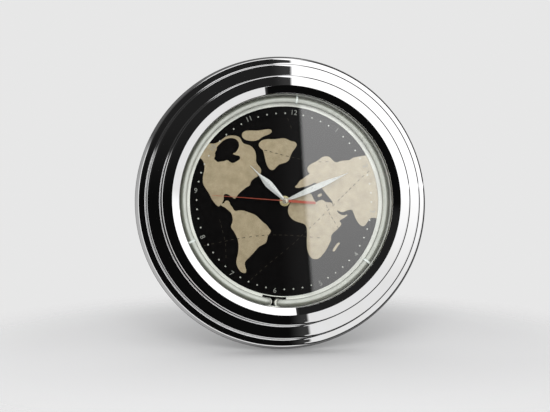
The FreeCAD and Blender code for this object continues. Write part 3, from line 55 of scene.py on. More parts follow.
Colour = tuple[float, float, float]
Point = tuple[float, float]
Face = tuple[int, ...]
Socket = bpy.types.NodeSocket


def row_point(x: float, y: float, out: float) -> Vector:
    """Give a row-frame point from the clock's own millimetres.

    Args:
        x: Distance to the right of the clock's axis.
        y: Distance above the clock's axis.
        out: Distance in front of the rim's rear edge.

    Returns:
        The point in metres in the row frame.
    """
    return Vector((x, -out - WALL_TO_RIM, y - HANG_HEIGHT)) * MILLIMETRE


def on_clock(angle: float, radius: float) -> Point:
    """Give the place at a clock angle in degrees and a radius, measured from the axis."""
    turn = math.radians(angle)
    return radius * math.sin(turn), radius * math.cos(turn)


def linear(value: float) -> float:
    """Turn one display value from 0 to 1 into a linear one."""
    return value / 12.92 if value <= 0.04045 else ((value + 0.055) / 1.055) ** 2.4


def tone(red: float, green: float, blue: float) -> Colour:
    """Turn a display colour in 0 to 255 into a linear one."""
    return linear(red / 255), linear(green / 255), linear(blue / 255)


def weighted(colour: Colour, weights: Colour | float) -> Colour:
    """Multiply a colour by one weight, or channel by channel, and hold it at 1."""
    each = weights if isinstance(weights, tuple) else (weights,) * 3
    return tuple(min(1.0, part * weight) for part, weight in zip(colour, each))


class Tree:
    """Builds a node tree with short calls."""

    def __init__(self, tree: bpy.types.NodeTree) -> None:
        """Start with the tree empty."""
        self.tree = tree
        self.tree.nodes.clear()

    def add(self, kind: str, **settings: object) -> bpy.types.Node:
        """Add a node and set its properties.

        Args:
            kind: The node's type without its "ShaderNode" prefix.
            **settings: Properties of the node.

        Returns:
            The new node.
        """
        node = self.tree.nodes.new("ShaderNode" + kind)
        for name, value in settings.items():
            setattr(node, name, value)
        return node

    def link(self, source: Socket, target: Socket) -> None:
        """Join an output to an input."""
        self.tree.links.new(source, target)

    def feed(self, value: Socket | float, target: Socket) -> None:
        """Give an input a number or another node's output.

        Args:
            value: A number, or the output to read.
            target: The input.
        """
        if isinstance(value, float):
            target.default_value = value
        else:
            self.link(value, target)

    def maths(self, operation: str, first: Socket | float, second: Socket | float = 0.0) -> Socket:
        """Join two values by one operation.

        Args:
            operation: The operation's name.
            first: The first value.
            second: The second value, where the operation has one.

        Returns:
            The node's output.
        """
        node = self.add("Math", operation=operation)
        self.feed(first, node.inputs[0])
        self.feed(second, node.inputs[1])
        return node.outputs["Value"]

    def mix(self, share: Socket, first: Socket | float, second: Socket | float) -> Socket:
        """Mix two values by a share.

        Args:
            share: Share of the second value.
            first: The value at share 0.
            second: The value at share 1.

        Returns:
            The node's output.
        """
        node = self.add("Mix", data_type="FLOAT")
        self.link(share, node.inputs["Factor"])
        self.feed(first, node.inputs["A"])
        self.feed(second, node.inputs["B"])
        return node.outputs["Result"]

    def step(self, value: Socket, start: float, end: float) -> Socket:
        """Give 0 up to start and 1 from end on, softly between.

        Args:
            value: The value to test.
            start: Where the result is still 0.
            end: Where the result reaches 1; it may lie below start.

        Returns:
            The node's output.
        """
        node = self.add("MapRange", interpolation_type="SMOOTHSTEP")
        node.inputs["From Min"].default_value = start
        node.inputs["From Max"].default_value = end
        self.link(value, node.inputs["Value"])
        return node.outputs["Result"]

    def dot(self, direction: Socket, axis: Vector) -> Socket:
        """Give how far a direction points along an axis.

        Args:
            direction: The direction to measure.
            axis: A direction of length 1.

        Returns:
            The node's output.
        """
        node = self.add("VectorMath", operation="DOT_PRODUCT")
        node.inputs[1].default_value = axis
        self.link(direction, node.inputs[0])
        return node.outputs["Value"]

    def length(self, vector: Socket) -> Socket:
        """Give a vector's length.

        Args:
            vector: The vector to measure.

        Returns:
            The node's output.
        """
        node = self.add("VectorMath", operation="LENGTH")
        self.link(vector, node.inputs[0])
        return node.outputs["Value"]


class Nodes(Tree):
    """Builds a material's node tree with short calls."""

    def __init__(self, name: str) -> None:
        """Start an empty node material with that name.

        Args:
            name: The material's name.
        """
        self.material = bpy.data.materials.new(name)
        self.material.use_nodes = True
        super().__init__(self.material.node_tree)
        self.output = self.add("OutputMaterial")

    def place(self) -> Socket:
        """Give the object-space position in metres."""
        return self.add("TexCoord").outputs["Object"]

    def radius(self) -> Socket:
        """Give the distance from the clock's axis in metres.

        Returns:
            The node's output.
        """
        from_axis = self.add("VectorMath", operation="SUBTRACT")
        from_axis.inputs[1].default_value = row_point(0, 0, 0)
        self.link(self.place(), from_axis.inputs[0])
        flat = self.add("VectorMath", operation="MULTIPLY")
        flat.inputs[1].default_value = (1.0, 0.0, 1.0)
        self.link(from_axis.outputs["Vector"], flat.inputs[0])
        return self.length(flat.outputs["Vector"])

    def noise(self, scale: float, detail: float = 3.0, roughness: float = 0.5,
              stretch: Colour = (1.0, 1.0, 1.0)) -> Socket:
        """Add a noise over object space.

        Args:
            scale: Features per metre.
            detail: Octaves of the noise.
            roughness: Strength of the finer octaves.
            stretch: Scale along each axis.

        Returns:
            The noise's grey value.
        """
        mapping = self.add("Mapping")
        mapping.inputs["Scale"].default_value = stretch
        self.link(self.place(), mapping.inputs["Vector"])
        node = self.add("TexNoise")
        node.inputs["Scale"].default_value = scale
        node.inputs["Detail"].default_value = detail
        node.inputs["Roughness"].default_value = roughness
        self.link(mapping.outputs["Vector"], node.inputs["Vector"])
        return node.outputs["Fac"]

    def spread(self, value: Socket, low: float, high: float,
               start: float = NOISE_LOW, end: float = NOISE_HIGH) -> Socket:
        """Map a grey value from start..end to low..high.

        Args:
            value: The grey value.
            low: The result at start and below.
            high: The result at end and above.
            start: The value that gives low.
            end: The value that gives high.

        Returns:
            The node's output.
        """
        node = self.add("MapRange")
        for name, number in (("From Min", start), ("From Max", end), ("To Min", low), ("To Max", high)):
            node.inputs[name].default_value = number
        self.link(value, node.inputs["Value"])
        return node.outputs["Result"]

    def blend(self, value: Socket, stops: list[tuple[float, Colour]]) -> Socket:
        """Turn a grey value into a colour through a ramp's stops.

        Args:
            value: The grey value.
            stops: The ramp's places and colours, in order.

        Returns:
            The colour.
        """
        node = self.add("ValToRGB")
        ramp = node.color_ramp
        ramp.elements[0].position = stops[0][0]
        ramp.elements[0].color = (*stops[0][1], 1.0)
        ramp.elements[1].position = stops[-1][0]
        ramp.elements[1].color = (*stops[-1][1], 1.0)
        for position, colour in stops[1:-1]:
            ramp.elements.new(position).color = (*colour, 1.0)
        self.link(value, node.inputs["Fac"])
        return node.outputs["Color"]

    def vary(self, value: Socket, low: Colour, high: Colour) -> Socket:
        """Turn a noise into colours from low to high."""
        return self.blend(value, [(NOISE_LOW, low), (NOISE_HIGH, high)])

    def multiply(self, first: Socket, second: Socket) -> Socket:
        """Multiply two colours.

        Args:
            first: The first colour.
            second: The second colour.

        Returns:
            The colour.
        """
        mix = self.add("Mix", data_type="RGBA", blend_type="MULTIPLY")
        mix.inputs["Factor"].default_value = 1.0
        self.link(first, mix.inputs["A"])
        self.link(second, mix.inputs["B"])
        return mix.outputs["Result"]

    def bump(self, height: Socket, strength: float, distance: float) -> Socket:
        """Turn a grey value into a bumped normal.

        Args:
            height: The grey value.
            strength: Share of the bump that shows.
            distance: Height of the bump in millimetres.

        Returns:
            The normal.
        """
        node = self.add("Bump")
        node.inputs["Strength"].default_value = strength
        node.inputs["Distance"].default_value = distance * MILLIMETRE
        self.link(height, node.inputs["Height"])
        return node.outputs["Normal"]

    def principled(self, **values: float | Colour) -> bpy.types.Node:
        """Add the main shader, set its inputs and join it to the output.

        Args:
            **values: The inputs' values, by the inputs' names with _ for a space.

        Returns:
            The shader.
        """
        shader = self.add("BsdfPrincipled")
        for name, value in values.items():
            socket = shader.inputs[name.replace("_", " ")]
            socket.default_value = (*value, 1.0) if isinstance(value, tuple) else value
        self.link(shader.outputs["BSDF"], self.output.inputs["Surface"])
        return shader

    def cover(self, share: Socket, under: bpy.types.Node, over: bpy.types.Node) -> None:
        """Lay one shader over another by a share and join them to the output.

        Args:
            share: How much of the upper shader shows.
            under: The lower shader.
            over: The upper shader.
        """
        mix = self.add("MixShader")
        self.link(share, mix.inputs["Fac"])
        self.link(under.outputs["BSDF"], mix.inputs[1])
        self.link(over.outputs["BSDF"], mix.inputs[2])
        self.link(mix.outputs["Shader"], self.output.inputs["Surface"])


@dataclass(frozen=True)
class Moulding:
    """Moulded plastic or rubber with a fine grain and slow changes of tone."""

    name: str
    colour: Colour
    gloss: float = 0.5
    grain: float = 0.02
    pitch: float = 1400.0
    mottle: float = 0.12
    clear: float = 0.0
    shine: float = 0.5
    clear_gloss: float = 0.08
    mottle_pitch: float = 38.0
    gloss_swing: float = 0.15
    grain_share: float = 0.6

    def material(self) -> bpy.types.Material:
        """Build the material.

        Returns:
            The new material.
        """
        nodes = Nodes(self.name)
        shader = nodes.principled(Coat_Weight=self.clear, Coat_Roughness=self.clear_gloss,
                                  Specular_IOR_Level=self.shine)
        slow = nodes.noise(self.mottle_pitch, 4.0)
        darker, lighter = (weighted(self.colour, 1 + swing) for swing in (-self.mottle, self.mottle))
        nodes.link(nodes.vary(slow, darker, lighter), shader.inputs["Base Color"])
        swings = (-self.gloss_swing, self.gloss_swing)
        glossy, dull = (min(1.0, self.gloss * (1 + swing)) for swing in swings)
        nodes.link(nodes.spread(slow, glossy, dull), shader.inputs["Roughness"])
        fine = nodes.noise(self.pitch, 2.0)
        nodes.link(nodes.bump(fine, self.grain_share, self.grain), shader.inputs["Normal"])
        return nodes.material


@dataclass(frozen=True)
class Metal:
    """Bare metal with fine marks left by its last cut or polish."""

    name: str
    colour: Colour
    gloss: float = 0.25
    marks: Colour = (1.0, 1.0, 1.0)
    pitch: float = 900.0
    depth: float = 0.004
    tarnish: Colour = (0.5, 0.5, 0.5)
    bareness: float = 1.0
    tarnish_pitch: float = 120.0
    tarnish_stops: Point = (0.25, 0.5)
    gloss_range: Point = (0.7, 1.4)
    mark_share: float = 0.4

    def material(self) -> bpy.types.Material:
        """Build the material.

        Returns:
            The new material.
        """
        nodes = Nodes(self.name)
        shader = nodes.principled(Metallic=self.bareness)
        slow = nodes.noise(self.tarnish_pitch, 4.0)
        stops = list(zip(self.tarnish_stops, (weighted(self.colour, self.tarnish), self.colour)))
        nodes.link(nodes.blend(slow, stops), shader.inputs["Base Color"])
        fine = nodes.noise(self.pitch, 3.0, stretch=self.marks)
        low, high = (self.gloss * share for share in self.gloss_range)
        nodes.link(nodes.spread(fine, low, high), shader.inputs["Roughness"])
        nodes.link(nodes.bump(fine, self.mark_share, self.depth), shader.inputs["Normal"])
        return nodes.material


@dataclass(frozen=True)
class MirrorPlating:
    """Bright plating over a moulding, with a faint haze of wiping and painted shade along each step's
    riser.
    """

    name: str = "mirror_plating"
    colour: Colour = (0.93, 0.93, 0.94)
    warmth: Colour = (0.985, 0.98, 0.965)
    wipe_pitch: float = 60.0
    wipe_octaves: float = 5.0
    haze: Point = (0.003, 0.014)
    swell_pitch: float = 9.0
    swell_share: float = 0.25
    swell_height: float = 0.05
    # Painted shade: the plating's colour is weighted down to 0.4 over the risers' radii listed below.
    unshaded: Colour = (1.0, 1.0, 1.0)
    painted_shade: Colour = (0.4, 0.4, 0.4)
    steps_from: float = 0.150
    steps_to: float = 0.190
    painted_shade_runs: tuple[Point, ...] = ((0.1569, 0.1591), (0.1747, 0.1768), (0.1891, 0.1910))
    soft: float = 0.0003

    def wear_and_painted_shade(self) -> list[tuple[float, Colour]]:
        """List the stops of the painted shade along the risers, from the innermost step outwards.

        Returns:
            Places from 0 to 1 across the steps, each with its colour weight.
        """
        span = self.steps_to - self.steps_from
        stops = [(0.0, self.unshaded)]
        for start, end in self.painted_shade_runs:
            for place, colour in ((start - self.soft, self.unshaded), (start, self.painted_shade), (end, self.painted_shade),
                                  (end + self.soft, self.unshaded)):
                if place <= self.steps_to:
                    stops.append(((place - self.steps_from) / span, colour))
        return stops

    def material(self) -> bpy.types.Material:
        """Build the material.

        Returns:
            The new material.
        """
        nodes = Nodes(self.name)
        shader = nodes.principled(Metallic=1.0)
        wipe = nodes.noise(self.wipe_pitch, self.wipe_octaves)
        plated = nodes.vary(wipe, weighted(self.colour, self.warmth), self.colour)
        outwards = nodes.spread(nodes.radius(), 0.0, 1.0, self.steps_from, self.steps_to)
        # The base colour carries the painted shade along the risers.
        nodes.link(nodes.multiply(plated, nodes.blend(outwards, self.wear_and_painted_shade())), shader.inputs["Base Color"])
        nodes.link(nodes.spread(wipe, *self.haze), shader.inputs["Roughness"])
        swell = nodes.noise(self.swell_pitch, 1.0)
        nodes.link(nodes.bump(swell, self.swell_share, self.swell_height), shader.inputs["Normal"])
        return nodes.material


@dataclass(frozen=True)
class LensGlass:
    """Clear flat glass with a bright front face that lets the dial's light straight through."""

    name: str = "lens_glass"
    index: float = 2.7
    tint: Colour = (0.985, 0.995, 0.99)
    smear_pitch: float = 30.0
    haze: Point = (0.001, 0.006)
    # Painted shade: beyond this radius the front reflection fades to a small share, so the tube ring under
    # the glass looks shaded.
    bright_radius: float = 0.1205
    painted_shade_fade: float = 0.003
    painted_shade_share: float = 0.12

    def material(self) -> bpy.types.Material:
        """Build the material.

        Returns:
            The new material.
        """
        nodes = Nodes(self.name)
        clear = nodes.add("BsdfTransparent")
        clear.inputs["Color"].default_value = (*self.tint, 1.0)
        shine = nodes.add("BsdfGlossy")
        nodes.link(nodes.spread(nodes.noise(self.smear_pitch, 4.0), *self.haze), shine.inputs["Roughness"])
        edge = nodes.add("Fresnel")
        edge.inputs["IOR"].default_value = self.index
        front = nodes.maths("SUBTRACT", 1.0, nodes.add("NewGeometry").outputs["Backfacing"])
        share = nodes.maths("MULTIPLY", edge.outputs["Fac"], front)
        # Painted shade over the tube ring: the reflection's share falls off by radius.
        painted_shade_end = self.bright_radius + self.painted_shade_fade
        painted_shade_fade = nodes.spread(nodes.radius(), 1.0, self.painted_shade_share, self.bright_radius, painted_shade_end)
        nodes.cover(nodes.maths("MULTIPLY", share, painted_shade_fade), clear, shine)
        return nodes.material


@dataclass(frozen=True)
class CoatedTube:
    """White powder inside a clear glass tube, with painted shade darkening its inner and outer sides."""

    name: str = "coated_tube"
    powder: Colour = tone(172, 172, 166)
    # Painted shade: the tube's colour darkens to this at its inner and outer sides, where the lip and the
    # tray shade it.
    painted_shade: Colour = tone(90, 91, 82)
    inner: float = 0.1250
    width: float = 0.0090
    powder_from: float = 0.1
    powder_to: float = 0.46
    painted_shade_from: float = 0.72
    worn: Colour = (0.9, 0.9, 0.9)
    clean: Colour = (1.0, 1.0, 1.0)
    clean_from: float = 0.65
    cloud_pitch: float = 160.0
    cloud_octaves: float = 5.0
    cloud_share: float = 0.15
    cloud_height: float = 0.02
    powder_gloss: float = 0.35
    glass_gloss: float = 0.03

    def material(self) -> bpy.types.Material:
        """Build the material.

        Returns:
            The new material.
        """
        nodes = Nodes(self.name)
        shader = nodes.principled(Roughness=self.powder_gloss, Coat_Weight=1.0,
                                  Coat_Roughness=self.glass_gloss)
        cloud = nodes.noise(self.cloud_pitch, self.cloud_octaves)
        across = nodes.spread(nodes.radius(), 0.0, 1.0, self.inner, self.inner + self.width)
        # Painted shade across the tube by radius: dark at the inner and outer sides, with the powder's
        # colour between.
        painted_shade_bands = [(0.0, self.painted_shade), (self.powder_from, self.powder), (self.powder_to, self.powder),
                 (self.painted_shade_from, self.painted_shade)]
        wear_and_painted_shade = [(NOISE_LOW, self.worn), (self.clean_from, self.clean)]
        coats = nodes.multiply(nodes.blend(across, painted_shade_bands), nodes.blend(cloud, wear_and_painted_shade))
        nodes.link(coats, shader.inputs["Base Color"])
        nodes.link(nodes.bump(cloud, self.cloud_share, self.cloud_height), shader.inputs["Normal"])
        return nodes.material


@dataclass(frozen=True)
class PrintInk:
    """Ink on the dial with the slight unevenness of screen print."""

    name: str
    colour: Colour
    shade: Colour
    size: float = 70.0
    relief: float = 0.0
    varnish: float = 0.0
    octaves: float = 9.0
    crispness: float = 0.68
    stops: Colour = (0.36, 0.5, 0.64)
    gloss: float = 0.6
    shine: float = 0.15
    varnish_index: float = 2.4
    varnish_gloss: float = 0.06
    relief_height: float = 0.3

    def material(self) -> bpy.types.Material:
        """Build the material.

        Returns:
            The new material.
        """
        nodes = Nodes(self.name)
        shader = nodes.principled(Roughness=self.gloss, Specular_IOR_Level=self.shine,
                                  Coat_Weight=self.varnish, Coat_IOR=self.varnish_index,
                                  Coat_Roughness=self.varnish_gloss)
        print_noise = nodes.noise(self.size, self.octaves, self.crispness)
        middle = tuple((one + two) / 2 for one, two in zip(self.colour, self.shade))
        stops = list(zip(self.stops, (self.shade, middle, self.colour)))
        nodes.link(nodes.blend(print_noise, stops), shader.inputs["Base Color"])
        nodes.link(nodes.bump(print_noise, self.relief, self.relief_height), shader.inputs["Normal"])
        return nodes.material


@dataclass(frozen=True)
class WoundWire:
    """Enamelled wire laid in close turns round a coil."""

    name: str
    colour: Colour
    turns: float = 2600.0
    shade: float = 0.45
    stops: Point = (0.1, 0.7)
    waver: float = 0.6
    bareness: float = 0.7
    gloss: float = 0.3
    turn_share: float = 0.7
    turn_height: float = 0.06

    def material(self) -> bpy.types.Material:
        """Build the material.

        Returns:
            The new material.
        """
        nodes = Nodes(self.name)
        shader = nodes.principled(Metallic=self.bareness, Roughness=self.gloss)
        wave = nodes.add("TexWave", wave_type="BANDS", bands_direction="X")
        wave.inputs["Scale"].default_value = self.turns / math.tau
        wave.inputs["Distortion"].default_value = self.waver
        nodes.link(nodes.place(), wave.inputs["Vector"])
        stops = list(zip(self.stops, (weighted(self.colour, self.shade), self.colour)))
        nodes.link(nodes.blend(wave.outputs["Fac"], stops), shader.inputs["Base Color"])
        turns = nodes.bump(wave.outputs["Fac"], self.turn_share, self.turn_height)
        nodes.link(turns, shader.inputs["Normal"])
        return nodes.material


@dataclass(frozen=True)
class StudioPaper:
    """Pale paper that fades out well away from the clock and isn't seen from below."""

    name: str = "studio_paper"
    colour: Colour = (0.465, 0.465, 0.468)
    grain_pitch: float = 500.0
    grain_shade: float = 0.985
    fade_start: float = 0.30
    fade_end: float = 0.52

    def material(self) -> bpy.types.Material:
        """Build the material.

        Returns:
            The new material.
        """
        nodes = Nodes(self.name)
        paper = nodes.add("BsdfDiffuse")
        grain = nodes.noise(self.grain_pitch, 2.0)
        shades = nodes.vary(grain, weighted(self.colour, self.grain_shade), self.colour)
        nodes.link(shades, paper.inputs["Color"])
        fade = nodes.step(nodes.length(nodes.place()), self.fade_start, self.fade_end)
        gone = nodes.maths("MAXIMUM", fade, nodes.add("NewGeometry").outputs["Backfacing"])
        nodes.cover(gone, paper, nodes.add("BsdfTransparent"))
        return nodes.material


class Finish(Enum):
    """Every finish on the clock."""

    MIRROR = MirrorPlating()
    LENS = LensGlass()
    TUBE = CoatedTube()
    TRAY = Moulding("tray_paint", tone(206, 205, 199), gloss=0.55, grain=0.01)
    CLIP = Moulding("clip_plastic", tone(200, 203, 200), gloss=0.18, grain=0.004, clear=0.6)
    GASKET = Moulding("gasket_rubber", tone(34, 34, 34), gloss=0.8, grain=0.03)
    BOOT = Moulding("boot_rubber", tone(222, 220, 212), gloss=0.6, grain=0.02)
    LEAD = Moulding("lead_rubber", tone(228, 226, 220), gloss=0.5, grain=0.01)
    DIAL = Moulding("dial_black", tone(9, 8, 8), gloss=0.6, grain=0.0003, pitch=700.0, mottle=0.15,
                    shine=0.05)
    CUSHION = Moulding("cushion_rubber", tone(28, 28, 28), gloss=0.85, grain=0.04)
    BRASS = Metal("turned_brass", (0.95, 0.84, 0.5), gloss=0.28, tarnish=(0.9, 0.85, 0.75), bareness=0.7)
    CAP = Metal("polished_cap", (0.95, 0.86, 0.72), gloss=0.22, depth=0.001,
                tarnish=(0.95, 0.92, 0.88), bareness=0.75)
    HAND = Metal("silver_white_satin", (0.94, 0.94, 0.93), gloss=0.35, depth=0.001,
                 tarnish=(0.98, 0.98, 0.97), bareness=0.65)
    SECOND = Moulding("red_lacquer", tone(160, 72, 54), gloss=0.3, grain=0.004, mottle=0.08, clear=0.4)
    WHEEL = Moulding("wheel_plastic", tone(226, 222, 206), gloss=0.42, grain=0.01, mottle=0.05)
    WHEEL_BRASS = Metal("cut_brass", (0.78, 0.6, 0.32), gloss=0.22, tarnish=(0.85, 0.8, 0.7))
    STEEL = Metal("ground_steel", (0.62, 0.62, 0.64), gloss=0.22, marks=(1.0, 0.1, 1.0),
                  tarnish=(0.9, 0.88, 0.86))
    MAGNET = Metal("sintered_magnet", (0.2, 0.2, 0.21), gloss=0.5, depth=0.02, tarnish=(0.7, 0.7, 0.7))
    HOUSING = Moulding("housing_plastic", tone(40, 40, 41), gloss=0.5, grain=0.03, pitch=1800.0)
    IRON = Metal("stamped_iron", (0.5, 0.5, 0.52), gloss=0.3, tarnish=(0.75, 0.72, 0.7))
    COPPER = WoundWire("coil_wire", (0.66, 0.25, 0.09))
    BOARD = Moulding("green_laminate", tone(20, 92, 48), gloss=0.35, grain=0.01, clear=0.4)
    CAN = Metal("drawn_can", (0.75, 0.75, 0.77), gloss=0.15, tarnish=(0.9, 0.9, 0.9))
    CELL = Moulding("cell_sleeve", tone(36, 38, 44), gloss=0.2, grain=0.004, clear=0.7)
    SPRING = Metal("nickel_strip", (0.76, 0.74, 0.7), gloss=0.18, tarnish=(0.9, 0.88, 0.85))
    COVER = Moulding("cover_plastic", tone(46, 46, 48), gloss=0.55, grain=0.05, pitch=1200.0)
    SCREW = Metal("blackened_screw", (0.12, 0.12, 0.125), gloss=0.3, tarnish=(0.7, 0.7, 0.7))
    FERRITE = Moulding("dull_ferrite", tone(52, 52, 55), gloss=0.7, grain=0.03)
    TAPE = Moulding("winding_tape", tone(196, 158, 40), gloss=0.3, grain=0.01, mottle=0.06)
    SLEEVE = Moulding("dark_sleeve", tone(24, 30, 54), gloss=0.22, grain=0.004, clear=0.5)
    SOCKET = Moulding("socket_nylon", tone(218, 216, 202), gloss=0.5, grain=0.01)
    JACK = Moulding("jack_plastic", tone(18, 18, 18), gloss=0.35, grain=0.01)
    SWITCH = Moulding("switch_plastic", tone(30, 30, 30), gloss=0.4, grain=0.01)
    SLIDER = Moulding("slider_plastic", tone(214, 214, 210), gloss=0.35, grain=0.01)
    LAND = PrintInk("map_land", tone(174, 159, 132), tone(154, 138, 112), size=95.0, relief=0.1,
                    varnish=1.0)
    LINES = PrintInk("map_lines", tone(48, 43, 35), tone(40, 35, 28))
    NUMERALS = PrintInk("numeral_ink", tone(140, 140, 136), tone(126, 126, 122))
    DOTS = PrintInk("dot_ink", tone(204, 204, 198), tone(188, 188, 182), varnish=1.0)

    def material(self) -> bpy.types.Material:
        """Give the finish's material, made on first use."""
        made = bpy.data.materials.get(self.value.name)
        return made or self.value.material()


def dress(obj: bpy.types.Object, finish: Finish) -> None:
    """Give the whole object one finish."""
    obj.data.materials.clear()
    obj.data.materials.append(finish.material())


def add_object(name: str, data: bpy.types.ID) -> bpy.types.Object:
    """Put new data into the scene as an object.

    Args:
        name: The object's name.
        data: Its mesh, text, camera or lamp data.

    Returns:
        The new object.
    """
    obj = bpy.data.objects.new(name, data)
    bpy.context.scene.collection.objects.link(obj)
    return obj


def new_piece(name: str, vertices: list[Vector], faces: list[Face], finish: Finish,
              body: str, smooth: bool = True) -> bpy.types.Object:
    """Make a mesh piece in the row frame and let it ride on a body.

    Args:
        name: The piece's name.
        vertices: Its points in metres.
        faces: Its faces as indices of the points.
        finish: Its finish.
        body: The body that it rides on.
        smooth: Whether its faces shade smoothly.

    Returns:
        The new object.
    """
    mesh = bpy.data.meshes.new(name)
    mesh.from_pydata(vertices, [], faces)
    work = bmesh.new()
    work.from_mesh(mesh)
    bmesh.ops.recalc_face_normals(work, faces=work.faces)
    work.to_mesh(mesh)
    work.free()
    if smooth:
        mesh.shade_smooth()
    obj = add_object(name, mesh)
    dress(obj, finish)
    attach(obj, body)
    return obj


def join_rings(near: int, far: int, count: int) -> list[Face]:
    """Join two rings of points by a band of faces.

    Args:
        near: Index of the first ring's first point.
        far: Index of the second ring's first point.
        count: Points in each ring.

    Returns:
        The band's faces.
    """
    pairs = [(index, (index + 1) % count) for index in range(count)]
    return [(near + one, near + two, far + two, far + one) for one, two in pairs]


def round_corner(before: Point, corner: Point, after: Point, radius: float, steps: int) -> list[Point]:
    """Replace a profile's corner by points on a tangent arc.

    Args:
        before: The corner before it.
        corner: The corner itself.
        after: The corner after it.
        radius: The arc's radius, or 0 for a sharp corner.
        steps: How many pieces the arc is cut into.

    Returns:
        The points that take the corner's place.
    """
    if radius == 0:
        return [corner]
    here = Vector(corner)
    first = (Vector(before) - here).normalized()
    last = (Vector(after) - here).normalized()
    half = first.angle(last) / 2
    reach = radius / math.tan(half)
    centre = here + (first + last).normalized() * (radius / math.sin(half))
    start = here + first * reach - centre
    sweep = start.angle_signed(here + last * reach - centre)
    points = []
    for index in range(steps + 1):
        turned = start.copy()
        turned.rotate(Matrix.Rotation(-sweep * index / steps, 2))
        points.append(tuple(centre + turned))
    return points


def rounded_profile(corners: list[tuple[float, float, float]], steps: int = 8,
                    guard: float = 0.25) -> list[Point]:
    """Round a closed profile's corners and add guard points beside each arc.

    Args:
        corners: The corners as radius, level and rounding, in millimetres.
        steps: How many pieces each arc is cut into.
        guard: How far from an arc's end its guard point lies.

    Returns:
        The closed profile's points.
    """
    plain = [(corner[0], corner[1]) for corner in corners]
    count = len(corners)
    arcs = []
    for index, (here, corner) in enumerate(zip(plain, corners)):
        arcs.append(round_corner(plain[index - 1], here, plain[(index + 1) % count], corner[2], steps))
    points: list[Point] = []
    for index, arc in enumerate(arcs):
        following = arcs[(index + 1) % count]
        points.extend(arc)
        run = Vector(following[0]) - Vector(arc[-1])
        if run.length > 3 * guard:
            step = run.normalized() * guard
            points.append(tuple(Vector(arc[-1]) + step))
            points.append(tuple(Vector(following[0]) - step))
    return points


def lathe(name: str, profile: list[Point], finish: Finish, body: str,
          segments: int = 512) -> bpy.types.Object:
    """Turn a closed profile round the clock's axis.

    Args:
        name: The piece's name.
        profile: The closed profile as radius and level, in millimetres.
        finish: Its finish.
        body: The body that it rides on.
        segments: Steps round the axis.

    Returns:
        The new object.
    """
    vertices = []
    faces = []
    count = len(profile)
    for step in range(segments):
        for radius, level in profile:
            x, y = on_clock(360 * step / segments, radius)
            vertices.append(row_point(x, y, level))
        faces.extend(join_rings(step * count, (step + 1) % segments * count, count))
    return new_piece(name, vertices, faces, finish, body)


@dataclass
class SteppedCase:
    """The mirror case front: three steps, an inner cone and the lens collar."""

    opening_radius: float = 135.1
    widths: tuple[float, ...] = (4.7, 8.5, 1.5, 16.2, 1.7, 13.0, 9.3)
    rises: tuple[float, ...] = (16.3, 0.2, 17.9, 0.4, 23.6, 0.4, -5.1)
    roundings: tuple[float, ...] = (1.5, 3.0, 2.6, 3.2, 1.8, 3.2, 0.7, 0.7)
    wall: float = 2.2
    lip_depth: float = 3.1
    collar_radius: float = 139.1
    collar_wall: float = 2.0
    collar_depth: float = 6.4

    def outline(self) -> list[Point]:
        """List the outer corners from the rim's rear edge to the lip.

        Returns:
            The corners as radius and level, in millimetres.
        """
        radius = self.opening_radius + sum(self.widths)
        level = 0.0
        points = [(radius, level)]
        for width, rise in zip(self.widths, self.rises):
            radius -= width
            level += rise
            points.append((radius, level))
        return points

    def inside(self, points: list[Point]) -> list[Point]:
        """Offset the outline to the case's inner side with mitred corners.

        Args:
            points: The outline.

        Returns:
            As many corners, one wall further in.
        """
        normals = []
        for first, second in zip(points, points[1:]):
            run = Vector(second) - Vector(first)
            normals.append(Vector((-run.y, run.x)).normalized())
        inner = [Vector(points[0]) + self.wall * normals[0]]
        for index in range(1, len(points) - 1):
            pair = normals[index - 1] + normals[index]
            spread = 1 + normals[index - 1].dot(normals[index])
            inner.append(Vector(points[index]) + self.wall * pair / spread)
        inner.append(Vector(points[-1]) + self.wall * normals[-1])
        return [tuple(point) for point in inner]

    def profile(self) -> list[Point]:
        """Give the case's closed and rounded section.

        Returns:
            The section as radius and level, in millimetres.
        """
        outer = self.outline()
        inner = self.inside(outer)
        seat = outer[-1][1] - self.lip_depth
        collar_outer = self.collar_radius + self.collar_wall
        share = (collar_outer - inner[-2][0]) / (inner[-1][0] - inner[-2][0])
        collar_top = inner[-2][1] + share * (inner[-1][1] - inner[-2][1])
        corners = [(*point, rounding) for point, rounding in zip(outer, self.roundings)]
        corners += [
            (self.opening_radius, seat, 0.0),
            (self.collar_radius, seat, 0.0),
            (self.collar_radius, seat - self.collar_depth, 0.0),
            (collar_outer, seat - self.collar_depth, 0.0),
            (collar_outer, collar_top, 0.0),
        ]
        corners += [(*point, 0.0) for point in reversed(inner[1:-1])]
        corners.append((inner[0][0], 0.0, 0.0))
        return rounded_profile(corners)

    def build(self) -> bpy.types.Object:
        """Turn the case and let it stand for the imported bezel.

        Returns:
            The case.
        """
        case = lathe("mirror_case", self.profile(), Finish.MIRROR, "case")
        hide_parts("front_bezel")
        LOG.info("mirror case: %d faces", len(case.data.polygons))
        return case


